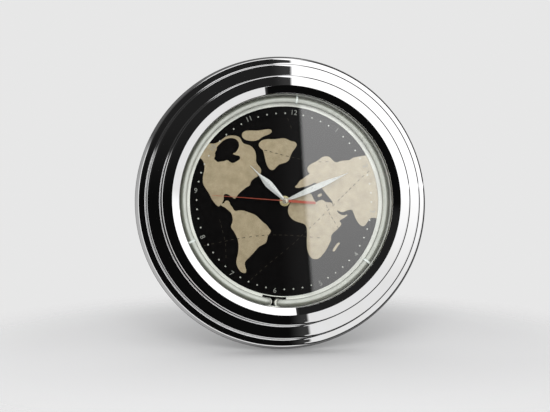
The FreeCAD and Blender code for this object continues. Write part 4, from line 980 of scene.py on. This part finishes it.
@dataclass
class GlowTube:
    """The glass tube round the dial, its two ends turned to the rear."""

    ring_radius: float = 129.5
    level: float = 36.8
    radius: float = 4.5
    leg_offset: float = 8.0
    bend: float = 5.5
    leg: float = 19.0
    ring_steps: int = 360
    bend_steps: int = 12
    sides: int = 28

    def path(self) -> list[Vector]:
        """List the tube's centre line from the left leg's end to the right one's.

        Returns:
            The points in millimetres from the axis.
        """
        swing = math.degrees((self.leg_offset + self.bend) / self.ring_radius)
        start = 180 + swing
        sweep = 360 - 2 * swing
        left = self.end_line(start, 1)
        right = self.end_line(start + sweep, -1)
        ring = []
        for step in range(self.ring_steps + 1):
            x, y = on_clock(start + sweep * step / self.ring_steps, self.ring_radius)
            ring.append(Vector((x, y, self.level)))
        return left + ring + right[::-1]

    def end_line(self, angle: float, side: int) -> list[Vector]:
        """List one end's centre line from the rear up to where the ring starts.

        Args:
            angle: Clock angle of the end in degrees.
            side: 1 where the ring runs on clockwise from the end, and -1 where it comes in.

        Returns:
            The points in millimetres from the axis.
        """
        x, y = on_clock(angle, self.ring_radius)
        along = Vector((*on_clock(angle + 90, 1.0), 0.0)) * side
        centre = Vector((x, y, self.level))
        foot = centre - along * self.bend
        points = [Vector((foot.x, foot.y, self.level - drop)) for drop in (self.leg, self.bend)]
        for step in range(1, self.bend_steps):
            turn = math.pi / 2 * step / self.bend_steps
            back = along * (self.bend * (1 - math.cos(turn)))
            points.append(foot + back - Vector((0, 0, self.bend * (1 - math.sin(turn)))))
        return points

    def build(self) -> bpy.types.Object:
        """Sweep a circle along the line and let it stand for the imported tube.

        Returns:
            The tube.
        """
        path = self.path()
        vertices: list[Vector] = []
        faces: list[Face] = []
        side = Vector((0, 1, 0))
        for index, point in enumerate(path):
            ahead = path[min(index + 1, len(path) - 1)] - path[max(index - 1, 0)]
            ahead.normalize()
            side = (side - ahead * side.dot(ahead)).normalized()
            other = ahead.cross(side)
            for step in range(self.sides):
                turn = 2 * math.pi * step / self.sides
                spot = point + (side * math.cos(turn) + other * math.sin(turn)) * self.radius
                vertices.append(row_point(*spot))
        for index in range(len(path) - 1):
            faces.extend(join_rings(index * self.sides, (index + 1) * self.sides, self.sides))
        faces.append(tuple(range(self.sides)))
        faces.append(tuple(range(len(vertices) - self.sides, len(vertices))))
        tube = new_piece("glow_tube", vertices, faces, Finish.TUBE, "case")
        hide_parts("neon_tube")
        LOG.info("glow tube: %d faces", len(tube.data.polygons))
        return tube


LAND_OUTLINES: dict[str, list[Point]] = {
    "north_america": [
        (-116.5, 42.5), (-112, 53), (-106, 62), (-103, 61.5), (-97, 62), (-92, 65), (-88, 69),
        (-84, 73), (-78, 75), (-71, 75.5), (-66, 74), (-63.5, 70), (-61, 67), (-57, 66), (-51, 65),
        (-46.5, 61.5), (-43.5, 56), (-42.5, 50), (-42.5, 46), (-40, 42.5), (-36, 39), (-34, 35),
        (-34.5, 31), (-37.5, 27.5), (-42, 24.5), (-46, 20), (-46.5, 14), (-50, 12.5), (-53, 9.5),
        (-57, 5.5), (-60.5, 1), (-62.5, -3), (-64, -5), (-67, -3), (-71, -1), (-74, 0.5), (-77, 0),
        (-78.5, -2), (-77.5, -6), (-78.5, -10.5), (-80.5, -13.5), (-82.5, -17), (-86, -15.5),
        (-90, -11.5), (-93.5, -7.5), (-96, -3), (-100, 2), (-105, 7.5), (-107, 14), (-107, 22),
        (-106, 28), (-107, 34), (-109.5, 39), (-113, 41.5),
    ],
    "arctic_island": [
        (-64, 77), (-63, 81), (-59, 83.5), (-52, 84.5), (-45, 85), (-38, 87), (-31, 89), (-27, 88.5),
        (-26, 85.5), (-29, 82.5), (-34, 80), (-38, 77.5), (-42, 73.5), (-47, 71.5), (-54, 71),
        (-59.5, 71.8), (-63, 74.5),
    ],
    "greenland": [
        (-41.5, 68), (-39.5, 72), (-36, 74.5), (-31, 76), (-25, 76.5), (-19, 77.5), (-14, 79),
        (-9, 79.8), (-4, 78.5), (0, 77), (5, 77), (8, 73.5), (6.5, 69.5), (3, 64), (1, 58), (0, 53),
        (-3, 49.5), (-8, 47.5), (-12.5, 45.5), (-15.5, 42), (-18, 38), (-22, 37), (-26, 40), (-29, 45),
        (-31, 51), (-33, 57), (-35, 61.5), (-40, 64.5),
    ],
    "south_america": [
        (-76, -9), (-73, -7.5), (-70, -9), (-69, -12.5), (-65.5, -15.5), (-63, -19.5), (-60.5, -20),
        (-57, -18.5), (-51, -18), (-45, -19.5), (-38, -21), (-33.5, -23), (-29, -26.5), (-25, -30),
        (-20, -32.5), (-16, -37), (-13, -40), (-15, -44), (-17, -48), (-17, -52), (-18, -56),
        (-22, -58.5), (-26, -61), (-29, -65), (-33, -71), (-37, -76), (-40.5, -80), (-42.5, -84),
        (-41, -88.5), (-39, -93), (-39.5, -96.5), (-43, -97), (-47, -95), (-51, -90), (-53, -85),
        (-53, -80), (-52, -74), (-52, -66), (-53, -59), (-56, -52), (-60, -46), (-64, -42),
        (-65, -39.5), (-63, -34), (-64, -28), (-66, -23), (-71, -19.5), (-76, -16.5), (-80.5, -15),
        (-80.5, -12.5), (-76.5, -12),
    ],
    "old_world": [
        (10.5, 19.5), (14, 23), (16, 28), (20, 31), (24, 35), (29, 38.5), (25, 41), (24.3, 46),
        (27, 50), (33, 54), (38, 57.5), (41, 61), (45, 63), (50, 63.5), (54, 61), (58, 57.5), (62, 57),
        (66, 59.5), (72, 61), (78, 62), (81, 65.5), (86, 67), (92, 69), (98, 70.5), (101, 72),
        (110, 57), (118, 38), (122.5, 19), (124, 0), (123, -8.5), (117, -8), (113, -8.5), (110.5, -12),
        (107.5, -18), (105, -20.5), (101, -20), (97, -16.5), (93, -11), (90, -5), (88, -1), (84, -1.5),
        (79, -4), (75, -6), (71.5, -5), (67.5, -3.5), (70, -7), (74, -9), (78, -9.5), (82.5, -7.5),
        (82, -10), (78, -13), (72, -17.5), (76, -19.5), (75.5, -22.5), (72, -27.5), (66.5, -33),
        (64, -38), (65, -43), (62.5, -49), (60.5, -55), (57, -61), (53.5, -66), (50, -69),
        (43.5, -69.5), (39.5, -66), (36, -60), (34.5, -54), (33.5, -45), (33, -36), (31.5, -29),
        (28, -26), (22, -25), (15, -23.5), (9.5, -20), (6, -15), (5, -9), (6.5, -4), (9, 1), (14, 7),
        (20, 11), (27, 14), (33, 13.5), (36, 8), (38.5, 4.5), (40.5, 3), (43, 5.5), (48, 7.5), (52, 5),
        (56, 4.8), (60, 5.5), (62.4, 1.2), (61.4, 6.5), (58.5, 9), (56, 11.5), (52, 15.5), (47.5, 20),
        (45, 23), (41, 24), (37, 28), (34.5, 27.3), (31, 24.5), (26, 22), (20, 20), (14, 18),
    ],
    "madagascar": [
        (76, -44.5), (74, -45), (71.5, -48.5), (69.5, -52), (68, -56), (69, -57.2), (71.5, -56),
        (73, -52), (75, -48.5), (77, -46),
    ],
    "inner_island": [(41, 11), (43, 10), (46.5, 12), (47, 14.5), (45, 15.2), (42, 13.5)],
}
INLAND_WATERS: dict[str, list[Point]] = {
    "north_bay": [
        (-94, 58), (-91, 62), (-87, 67), (-82, 70.5), (-76, 72), (-70, 71), (-66.5, 67), (-65.5, 62),
        (-68, 56), (-70, 53.5), (-73, 52.5), (-71, 51), (-66, 50.5), (-63.5, 50.5), (-62.5, 46.5),
        (-66, 43.5), (-71, 40), (-74, 40.5), (-79, 43.8), (-82, 41.5), (-86, 40.5), (-91, 39),
        (-93, 41), (-96, 42.5), (-94.5, 46), (-95.5, 51), (-93.5, 54.5),
    ],
}
ROUTES: tuple[tuple[Point, ...], ...] = (
    ((-33, 61.5), (-19, 59.5), (-5, 57.5), (18, 55.2), (38, 55), (47, 56), (58, 58.5)),
    ((-96, -68), (-78, -62), (-63, -57), (-49, -53), (-32, -48.5), (-10, -44.5), (12, -42.5), (37, -41.8),
     (56, -41.5)),
    ((-32, -104), (-22, -93), (-10, -80), (2, -68), (16, -54), (30, -37), (45, -20), (56, -6), (68, 8),
     (81, 24), (96, 42), (108, 55)),
    ((-80, -33), (-75, -46), (-69, -62), (-66, -84)),
    ((-8, 106), (-3, 97), (0, 88)),
    ((54, 1), (58, -8), (66, -18), (80, -36)),
)


@dataclass
class PrintedDial:
    """The black dial with its map, minute dots, numbers and fine dashed lines."""

    level: float = 29.9
    ink: float = 0.05
    dot_circle: float = 112.4
    dot_radius: float = 0.95
    dot_lift: float = 3.0
    water_lift: float = 2.0
    number_circle: float = 114.2
    number_size: float = 8.96
    number_smoothness: int = 6
    dash: float = 3.7
    dash_gap: float = 4.3
    dash_width: float = 0.8
    dash_share: float = 0.7
    coast_cuts: Point = (0.25, 0.75)
    upright: tuple[int, ...] = (6, 9, 12)
    lying: tuple[int, ...] = (4, 5, 7, 8)

    def coast(self, outline: list[Point]) -> list[Point]:
        """Soften an outline's corners twice.

        Args:
            outline: The outline with its corners.

        Returns:
            The softened outline.
        """
        points = outline
        for _ in range(2):
            softer = []
            for index, here in enumerate(points):
                following = points[(index + 1) % len(points)]
                for share in self.coast_cuts:
                    softer.append((here[0] + (following[0] - here[0]) * share,
                                   here[1] + (following[1] - here[1]) * share))
            points = softer
        return points

    def sheet(self, name: str, loops: list[list[Point]], finish: Finish,
              lift: float = 1.0) -> bpy.types.Object:
        """Print closed loops as one thin layer of ink on the dial.

        Args:
            name: The layer's name.
            loops: Closed outlines in millimetres.
            finish: The ink.
            lift: How many ink layers the print lies above the dial.

        Returns:
            The new object.
        """
        vertices: list[Vector] = []
        faces: list[Face] = []
        level = self.level + self.ink * lift
        for loop in loops:
            base = len(vertices)
            vertices.extend(row_point(x, y, level) for x, y in loop)
            for face in tessellate_polygon([[Vector((x, y, 0)) for x, y in loop]]):
                faces.append(tuple(base + index for index in reversed(face)))
        print_layer = new_piece(name, vertices, faces, finish, "case", False)
        return print_layer

    def disc(self, x: float, y: float, steps: int = 20) -> list[Point]:
        """Give a dot's outline."""
        offsets = [on_clock(360 * step / steps, self.dot_radius) for step in range(steps)]
        return [(x + across, y + up) for across, up in offsets]

    def print_map(self) -> None:
        """Print the land, then the inland waters over it in the dial's black."""
        land = [self.coast(outline) for outline in LAND_OUTLINES.values()]
        self.sheet("map_print", land, Finish.LAND)
        water = [self.coast(outline) for outline in INLAND_WATERS.values()]
        self.sheet("water_print", water, Finish.DIAL, self.water_lift)

    def print_dots(self) -> None:
        """Print the minute dots between the numbers."""
        dots = []
        for minute in range(MINUTES):
            if minute % (MINUTES // HOURS):
                dots.append(self.disc(*on_clock(360 / MINUTES * minute, self.dot_circle)))
        self.sheet("minute_dots", dots, Finish.DOTS, self.dot_lift)

    def print_lines(self) -> None:
        """Print the fine dashed lines that cross the map."""
        dashes = []
        for route in ROUTES:
            dashes.extend(self.dashes_along([Vector(point) for point in route]))
        self.sheet("dashed_lines", dashes, Finish.LINES, self.dot_lift)

    def dashes_along(self, route: list[Vector]) -> list[list[Point]]:
        """Cut a route of straight runs into dashes.

        Args:
            route: The route's corners.

        Returns:
            Each dash's outline.
        """
        dashes = []
        pitch = self.dash + self.dash_gap
        for start, end in zip(route, route[1:]):
            along = (end - start).normalized()
            across = Vector((-along.y, along.x)) * self.dash_width / 2
            count = max(1, round((end - start).length / pitch))
            step = (end - start) / count
            for index in range(count):
                first = start + step * index
                last = first + along * min(self.dash, step.length * self.dash_share)
                corners = (first - across, last - across, last + across, first + across)
                dashes.append([tuple(corner) for corner in corners])
        return dashes

    def print_numbers(self) -> None:
        """Print the twelve hour numbers."""
        for hour in range(1, HOURS + 1):
            self.number(hour)

    def digits(self, hour: int) -> bpy.types.Mesh:
        """Make one hour number's flat mesh, centred on its own middle.

        Args:
            hour: The hour, 1 to 12.

        Returns:
            The mesh, lying flat.
        """
        text = bpy.data.curves.new(f"number_{hour}", "FONT")
        text.body = str(hour)
        text.size = self.number_size * MILLIMETRE
        text.align_x = "CENTER"
        text.align_y = "CENTER"
        text.resolution_u = self.number_smoothness
        holder = add_object(f"number_{hour}", text)
        bpy.context.view_layer.update()
        graph = bpy.context.evaluated_depsgraph_get()
        mesh = bpy.data.meshes.new_from_object(holder.evaluated_get(graph))
        bpy.data.objects.remove(holder)
        xs = [vertex.co.x for vertex in mesh.vertices]
        ys = [vertex.co.y for vertex in mesh.vertices]
        mesh.transform(Matrix.Translation((-(min(xs) + max(xs)) / 2, -(min(ys) + max(ys)) / 2, 0)))
        return mesh

    def number(self, hour: int) -> None:
        """Print one hour number, turned as its place asks.

        Args:
            hour: The hour, 1 to 12.
        """
        mesh = self.digits(hour)
        angle = 360 / HOURS * hour
        turn = 0.0
        if hour not in self.upright:
            turn = (180.0 if hour in self.lying else 0.0) - angle
        x, y = on_clock(angle, self.number_circle)
        stand = Matrix.Rotation(math.radians(90), 4, "X") @ Matrix.Rotation(math.radians(turn), 4, "Z")
        place = row_point(x, y, self.level + self.ink * self.dot_lift)
        mesh.transform(Matrix.Translation(place) @ stand)
        mesh.name = f"number_{hour}_print"
        piece = add_object(mesh.name, mesh)
        dress(piece, Finish.NUMERALS)
        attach(piece, "case")

    def build(self) -> None:
        """Print everything on the dial."""
        self.print_map()
        self.print_dots()
        self.print_lines()
        self.print_numbers()
        LOG.info("printed dial: map, dots, lines and numbers")


@dataclass
class LeafHand:
    """A leaf hand with a raised middle line, pressed on its arbor."""

    node: str
    body: str
    angle: float
    length: float
    level: float
    bore: float
    half_widths: tuple[Point, ...]
    eye_radius: float = 3.6
    stock: float = 0.4
    ridge: float = 0.7
    ridge_full: float = 1.6
    blade_sides: int = 5
    eye_steps: int = 40

    def blade(self) -> tuple[list[Vector], list[Face]]:
        """Give the blade's points and faces, five points to a station.

        Returns:
            The points in metres and the faces.
        """
        along = Vector((*on_clock(self.angle, 1.0), 0.0))
        across = Vector((along.y, -along.x, 0.0))
        points = []
        for share, half in self.half_widths:
            crest = self.stock + (self.ridge - self.stock) * min(half / self.ridge_full, 1)
            for side, height in ((-half, 0.0), (half, 0.0), (half, self.stock / 2), (0.0, crest),
                                 (-half, self.stock / 2)):
                spot = along * (self.length * share) + across * side
                points.append(row_point(spot.x, spot.y, self.level + height))
        sides = self.blade_sides
        faces = []
        for station in range(len(self.half_widths) - 1):
            faces.extend(join_rings(station * sides, (station + 1) * sides, sides))
        faces.append(tuple(range(sides)))
        faces.append(tuple(range(len(points) - sides, len(points))))
        return points, faces

    def eye(self, first: int) -> tuple[list[Vector], list[Face]]:
        """Give the eye ring's points and faces, numbered from the given index.

        Args:
            first: Index of the ring's first point.

        Returns:
            The points in metres and the faces.
        """
        radii = (self.bore, self.eye_radius, self.eye_radius, self.bore)
        section = list(zip(radii, (0.0, 0.0, self.stock, self.stock)))
        points = []
        faces = []
        for step in range(self.eye_steps):
            for radius, height in section:
                x, y = on_clock(360 * step / self.eye_steps, radius)
                points.append(row_point(x, y, self.level + height))
            near = first + step * len(section)
            far = first + (step + 1) % self.eye_steps * len(section)
            faces.extend(join_rings(near, far, len(section)))
        return points, faces

    def build(self) -> bpy.types.Object:
        """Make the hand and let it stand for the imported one.

        Returns:
            The hand.
        """
        points, faces = self.blade()
        ring_points, ring_faces = self.eye(len(points))
        points += ring_points
        faces += ring_faces
        hand = new_piece(f"leaf_{self.node}", points, faces, Finish.HAND, self.body, False)
        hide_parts(self.node)
        LOG.info("%s: %d faces", self.node, len(hand.data.polygons))
        return hand


HOUR_HALF_WIDTHS: tuple[Point, ...] = (
    (0.045, 1.5), (0.10, 2.0), (0.167, 2.5), (0.25, 3.2), (0.335, 3.95), (0.42, 4.5), (0.49, 4.6),
    (0.555, 4.05), (0.62, 3.0), (0.69, 1.8), (0.76, 0.95), (0.85, 0.7), (1.0, 0.3),
)
MINUTE_HALF_WIDTHS: tuple[Point, ...] = (
    (0.032, 1.3), (0.10, 1.9), (0.17, 2.4), (0.25, 2.95), (0.34, 3.5), (0.45, 3.8), (0.55, 3.6),
    (0.65, 3.0), (0.73, 2.35), (0.80, 1.65), (0.87, 0.9), (0.92, 0.6), (1.0, 0.25),
)


NODE_FINISHES: dict[Finish, tuple[str, ...]] = {
    Finish.MIRROR: ("front_bezel",),
    Finish.LENS: ("glass_lens",),
    Finish.GASKET: ("glass_gasket",),
    Finish.TRAY: ("reflector_tray",),
    Finish.TUBE: ("neon_tube",),
    Finish.CLIP: ("tube_clip_top", "tube_clip_right", "tube_clip_left"),
    Finish.BOOT: ("electrode_boot_left", "electrode_boot_right"),
    Finish.LEAD: ("tube_lead_left", "tube_lead_right"),
    Finish.DIAL: ("dial_plate",),
    Finish.BRASS: ("threaded_bush", "dial_washer", "dial_nut"),
    Finish.CUSHION: ("bush_cushion",),
    Finish.HAND: ("hour_hand", "minute_hand"),
    Finish.SECOND: ("second_hand",),
    Finish.CAP: ("centre_cap",),
    Finish.WHEEL: ("hour_wheel", "third_wheel", "fifth_wheel", "rotor_pinion", "motion_wheel",
                   "middle_plate"),
    Finish.WHEEL_BRASS: ("minute_wheel",),
    Finish.STEEL: ("second_wheel",),
    Finish.MAGNET: ("rotor_magnet",),
    Finish.HOUSING: ("setting_knob", "movement_front", "movement_tray"),
    Finish.IRON: ("stator", "coil_core"),
    Finish.COPPER: ("coil_winding",),
    Finish.BOARD: ("circuit_board", "inverter_board"),
    Finish.CAN: ("quartz_crystal",),
    Finish.CELL: ("battery",),
    Finish.SPRING: ("contact_positive", "contact_negative", "jack_pin"),
    Finish.COVER: ("rear_cover",),
    Finish.SCREW: ("cover_screws",),
    Finish.FERRITE: ("transformer_core",),
    Finish.TAPE: ("transformer_winding",),
    Finish.SLEEVE: ("storage_capacitor",),
    Finish.SOCKET: ("lead_socket",),
    Finish.JACK: ("dc_jack",),
    Finish.SWITCH: ("switch_body",),
    Finish.SLIDER: ("switch_slider",),
}


def dress_packed_nodes() -> None:
    """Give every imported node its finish."""
    for finish, names in NODE_FINISHES.items():
        for name in names:
            dress(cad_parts[name], finish)
    LOG.info("dressed %d packed nodes", sum(len(names) for names in NODE_FINISHES.values()))


@dataclass
class Viewpoint:
    """The photograph's camera, measured from the clock's rings."""

    azimuth: float = -6.77
    elevation: float = -3.35
    roll: float = 6.27
    distance: float = 1700.0
    shift_right: float = 8.7
    shift_up: float = 5.0
    focal_length: float = 85.8
    sensor: float = 36.0
    nearest: float = 0.05

    def axes(self) -> tuple[Vector, Vector, Vector]:
        """Give the picture's right, its up and the way back to the camera.

        Returns:
            Three directions of length 1.
        """
        azimuth, elevation = math.radians(self.azimuth), math.radians(self.elevation)
        roll = math.radians(self.roll)
        back = Vector((math.sin(azimuth) * math.cos(elevation), -math.cos(azimuth) * math.cos(elevation),
                       math.sin(elevation)))
        level = Vector((math.cos(azimuth), math.sin(azimuth), 0.0))
        upright = back.cross(level)
        right = level * math.cos(roll) + upright * math.sin(roll)
        return right, back.cross(right), back

    def build(self) -> bpy.types.Object:
        """Set up the camera.

        Returns:
            The camera.
        """
        right, upright, back = self.axes()
        lens = bpy.data.cameras.new("viewpoint")
        lens.lens = self.focal_length
        lens.sensor_width = self.sensor
        lens.clip_start = self.nearest
        camera = add_object("viewpoint", lens)
        offset = back * self.distance - right * self.shift_right - upright * self.shift_up
        turn = Matrix((right, upright, back)).transposed().to_4x4()
        camera.matrix_world = Matrix.Translation(row_point(0, 0, 0) + offset * MILLIMETRE) @ turn
        bpy.context.scene.camera = camera
        LOG.info("viewpoint set")
        return camera


@dataclass(frozen=True)
class Lamp:
    """One soft lamp that gives light but no reflection, in metres from the clock and in watts."""

    name: str
    right: float
    back: float
    height: float
    size: float
    power: float
    target_level: float = 20.0

    def build(self) -> None:
        """Hang the lamp and turn it to the clock."""
        data = bpy.data.lights.new(self.name, "AREA")
        data.shape = "DISK"
        data.size = self.size
        data.energy = self.power
        lamp = add_object(self.name, data)
        target = row_point(0, 0, self.target_level)
        lamp.location = target + Vector((self.right, self.back, self.height))
        lamp.rotation_mode = "QUATERNION"
        lamp.rotation_quaternion = (target - lamp.location).to_track_quat("-Z", "Y")
        lamp.visible_glossy = False
        lamp.visible_camera = False


@dataclass
class Surroundings:
    """The world: the pale backdrop, the light from all round, and what the mirror case sees.

    A mirror that faces the front sees a dark and a white side with a leaning edge between them.
    One that is turned away sees a bright ring with a shaded sector at the right and a faint
    corner at the upper left, and behind the clock it sees a dark wall. Angles are in degrees
    round the picture from its top, and the other places are shares of a direction.
    """

    paper: float = 0.80
    fill: float = 1.15
    black: float = 0.0035
    black_high: float = 0.015
    high_from: float = 0.09
    high_to: float = 0.20
    edge_at: float = 0.2745
    edge_soft: float = 0.002
    edge_lean: float = 0.073
    edge_curl: float = 0.118
    skirt: float = 0.04
    skirt_from: float = 0.024
    skirt_to: float = 0.004
    white: float = 0.82
    white_lift: float = 3.0
    lift_ends: float = 0.15
    ring_starts: float = 0.345
    ring_soft: float = 0.02
    ring_ends: float = -0.80
    wall_soft: float = 0.06
    wall: float = 0.12
    ring_bright: float = 1.1
    ring_dim: float = 0.45
    faint: float = 0.06
    faint_from: Point = (-67.0, -60.0)
    faint_to: Point = (-31.0, -23.0)
    shade: float = 0.004
    shade_middle: float = 90.0
    shade_half_angle: float = 75.0
    shade_soft: float = 0.03
    gap: float = 1.3
    gap_angle: float = 81.4
    gap_inner: float = 0.007
    gap_outer: float = 0.014

    def front(self, nodes: Tree, across: Socket, above: Socket) -> Socket:
        """Give the light that a mirror facing the front sees.

        Args:
            nodes: The world's tree.
            across: How far the ray points to the picture's right.
            above: How far it points to the picture's top.

        Returns:
            The light's strength.
        """
        curl = nodes.maths("MULTIPLY", nodes.maths("POWER", above, 3.0), self.edge_curl)
        lean = nodes.maths("ADD", nodes.maths("MULTIPLY", above, self.edge_lean), curl)
        edge = nodes.maths("ADD", across, lean)
        white_side = nodes.step(edge, self.edge_at - self.edge_soft, self.edge_at + self.edge_soft)
        skirt = nodes.step(edge, self.edge_at - self.skirt_from, self.edge_at - self.skirt_to)
        high = nodes.step(above, self.high_from, self.high_to)
        dark_side = nodes.mix(skirt, nodes.mix(high, self.black, self.black_high), self.skirt)
        rise = nodes.maths("MINIMUM", nodes.maths("MAXIMUM", above, 0.0), self.lift_ends)
        lift = nodes.maths("MULTIPLY", rise, self.white_lift)
        return nodes.mix(white_side, dark_side, nodes.maths("ADD", lift, self.white))

    def ring(self, nodes: Tree, angle: Socket, towards: Socket) -> Socket:
        """Give the light that a mirror turned away from the front sees.

        Args:
            nodes: The world's tree.
            angle: The ray's angle round the picture from its top.
            towards: How far it points to the camera.

        Returns:
            The light's strength.
        """
        middle = math.radians(self.shade_middle)
        half = math.radians(self.shade_half_angle)
        off_middle = nodes.maths("ABSOLUTE", nodes.maths("SUBTRACT", angle, middle))
        shaded = nodes.step(off_middle, half + self.shade_soft, half - self.shade_soft)
        off_gap = nodes.maths("ABSOLUTE", nodes.maths("SUBTRACT", angle, math.radians(self.gap_angle)))
        open_gap = nodes.step(off_gap, self.gap_outer, self.gap_inner)
        dark = nodes.mix(open_gap, self.shade, self.gap)
        turned = nodes.step(towards, self.ring_starts, self.ring_ends)
        bright = nodes.mix(turned, self.ring_bright, self.ring_dim)
        after = nodes.step(angle, *(math.radians(end) for end in self.faint_from))
        before = nodes.step(angle, *(math.radians(end) for end in reversed(self.faint_to)))
        bright = nodes.mix(nodes.maths("MULTIPLY", after, before), bright, self.faint)
        return nodes.mix(shaded, bright, dark)

    def build(self, viewpoint: Viewpoint) -> None:
        """Build the world, levelled to the viewpoint's picture.

        Args:
            viewpoint: The camera whose picture sets the directions.
        """
        world = bpy.data.worlds.new("studio")
        bpy.context.scene.world = world
        world.use_nodes = True
        nodes = Tree(world.node_tree)
        direction = nodes.add("TexCoord").outputs["Generated"]
        across, above, towards = (nodes.dot(direction, axis) for axis in viewpoint.axes())
        angle = nodes.maths("ARCTAN2", across, above)
        front = self.front(nodes, across, above)
        ring = self.ring(nodes, angle, towards)
        in_front = nodes.step(towards, self.ring_starts - self.ring_soft, self.ring_starts + self.ring_soft)
        level = nodes.mix(in_front, ring, front)
        behind = nodes.step(towards, self.ring_ends + self.wall_soft, self.ring_ends - self.wall_soft)
        level = nodes.mix(behind, level, self.wall)
        path = nodes.add("LightPath")
        light = nodes.mix(path.outputs["Is Glossy Ray"], self.fill, level)
        background = nodes.add("Background")
        background.inputs["Color"].default_value = (1.0, 1.0, 1.0, 1.0)
        seen = nodes.mix(path.outputs["Is Camera Ray"], light, self.paper)
        nodes.link(seen, background.inputs["Strength"])
        output = nodes.add("OutputWorld")
        nodes.link(background.outputs["Background"], output.inputs["Surface"])


@dataclass
class Studio:
    """The plain studio: a pale floor, soft lamps and the surroundings."""

    viewpoint: Viewpoint
    rim_radius: float = 190.0
    floor_radius: float = 0.55
    floor_pitch: float = 5.0
    floor_gap: float = 0.0004
    floor_sides: int = 128
    lamps: tuple[Lamp, ...] = (
        Lamp("key", right=-0.25, back=-1.05, height=1.25, size=0.9, power=6.0),
        Lamp("fill", right=-0.35, back=-1.9, height=0.5, size=1.2, power=34.0),
    )

    def floor_axes(self) -> tuple[Vector, Vector, Vector]:
        """Give the floor's right, its depth and its upright, levelled to the picture.

        Returns:
            Three directions of length 1.
        """
        right, upright, back = self.viewpoint.axes()
        pitch = math.radians(self.floor_pitch)
        normal = upright * math.cos(pitch) + back * math.sin(pitch)
        return right, normal.cross(right), normal

    def floor(self) -> bpy.types.Object:
        """Lay the floor under the rim's lowest point.

        Returns:
            The floor.
        """
        right, depth, normal = self.floor_axes()
        down = -(normal - normal.y * Vector((0, 1, 0))).normalized()
        contact = row_point(0, 0, 0) + down * self.rim_radius * MILLIMETRE
        mesh = bpy.data.meshes.new("studio_floor")
        work = bmesh.new()
        bmesh.ops.create_circle(work, cap_ends=True, segments=self.floor_sides, radius=self.floor_radius)
        work.to_mesh(mesh)
        work.free()
        mesh.materials.append(StudioPaper().material())
        floor = add_object("studio_floor", mesh)
        turn = Matrix((right, depth, normal)).transposed().to_4x4()
        floor.matrix_world = Matrix.Translation(contact - normal * self.floor_gap) @ turn
        floor.visible_glossy = False
        return floor

    def build(self) -> None:
        """Set up floor, lamps and surroundings."""
        self.floor()
        for lamp in self.lamps:
            lamp.build()
        Surroundings().build(self.viewpoint)
        bpy.context.scene.view_settings.view_transform = "Standard"
        LOG.info("studio set")


def main() -> None:
    """Dress the clock and set up the studio."""
    logging.basicConfig(level=logging.INFO, format="%(name)s: %(message)s")
    viewpoint = Viewpoint()
    dress_packed_nodes()
    SteppedCase().build()
    GlowTube().build()
    PrintedDial().build()
    LeafHand("hour_hand", "hour_arbor", angle=308.7, length=63.0, level=33.9, bore=2.55,
             half_widths=HOUR_HALF_WIDTHS).build()
    LeafHand("minute_hand", "minute_arbor", angle=59.7, length=88.4, level=35.7, bore=1.6,
             half_widths=MINUTE_HALF_WIDTHS).build()
    viewpoint.build()
    Studio(viewpoint).build()


if __name__ == "__main__":
    main()
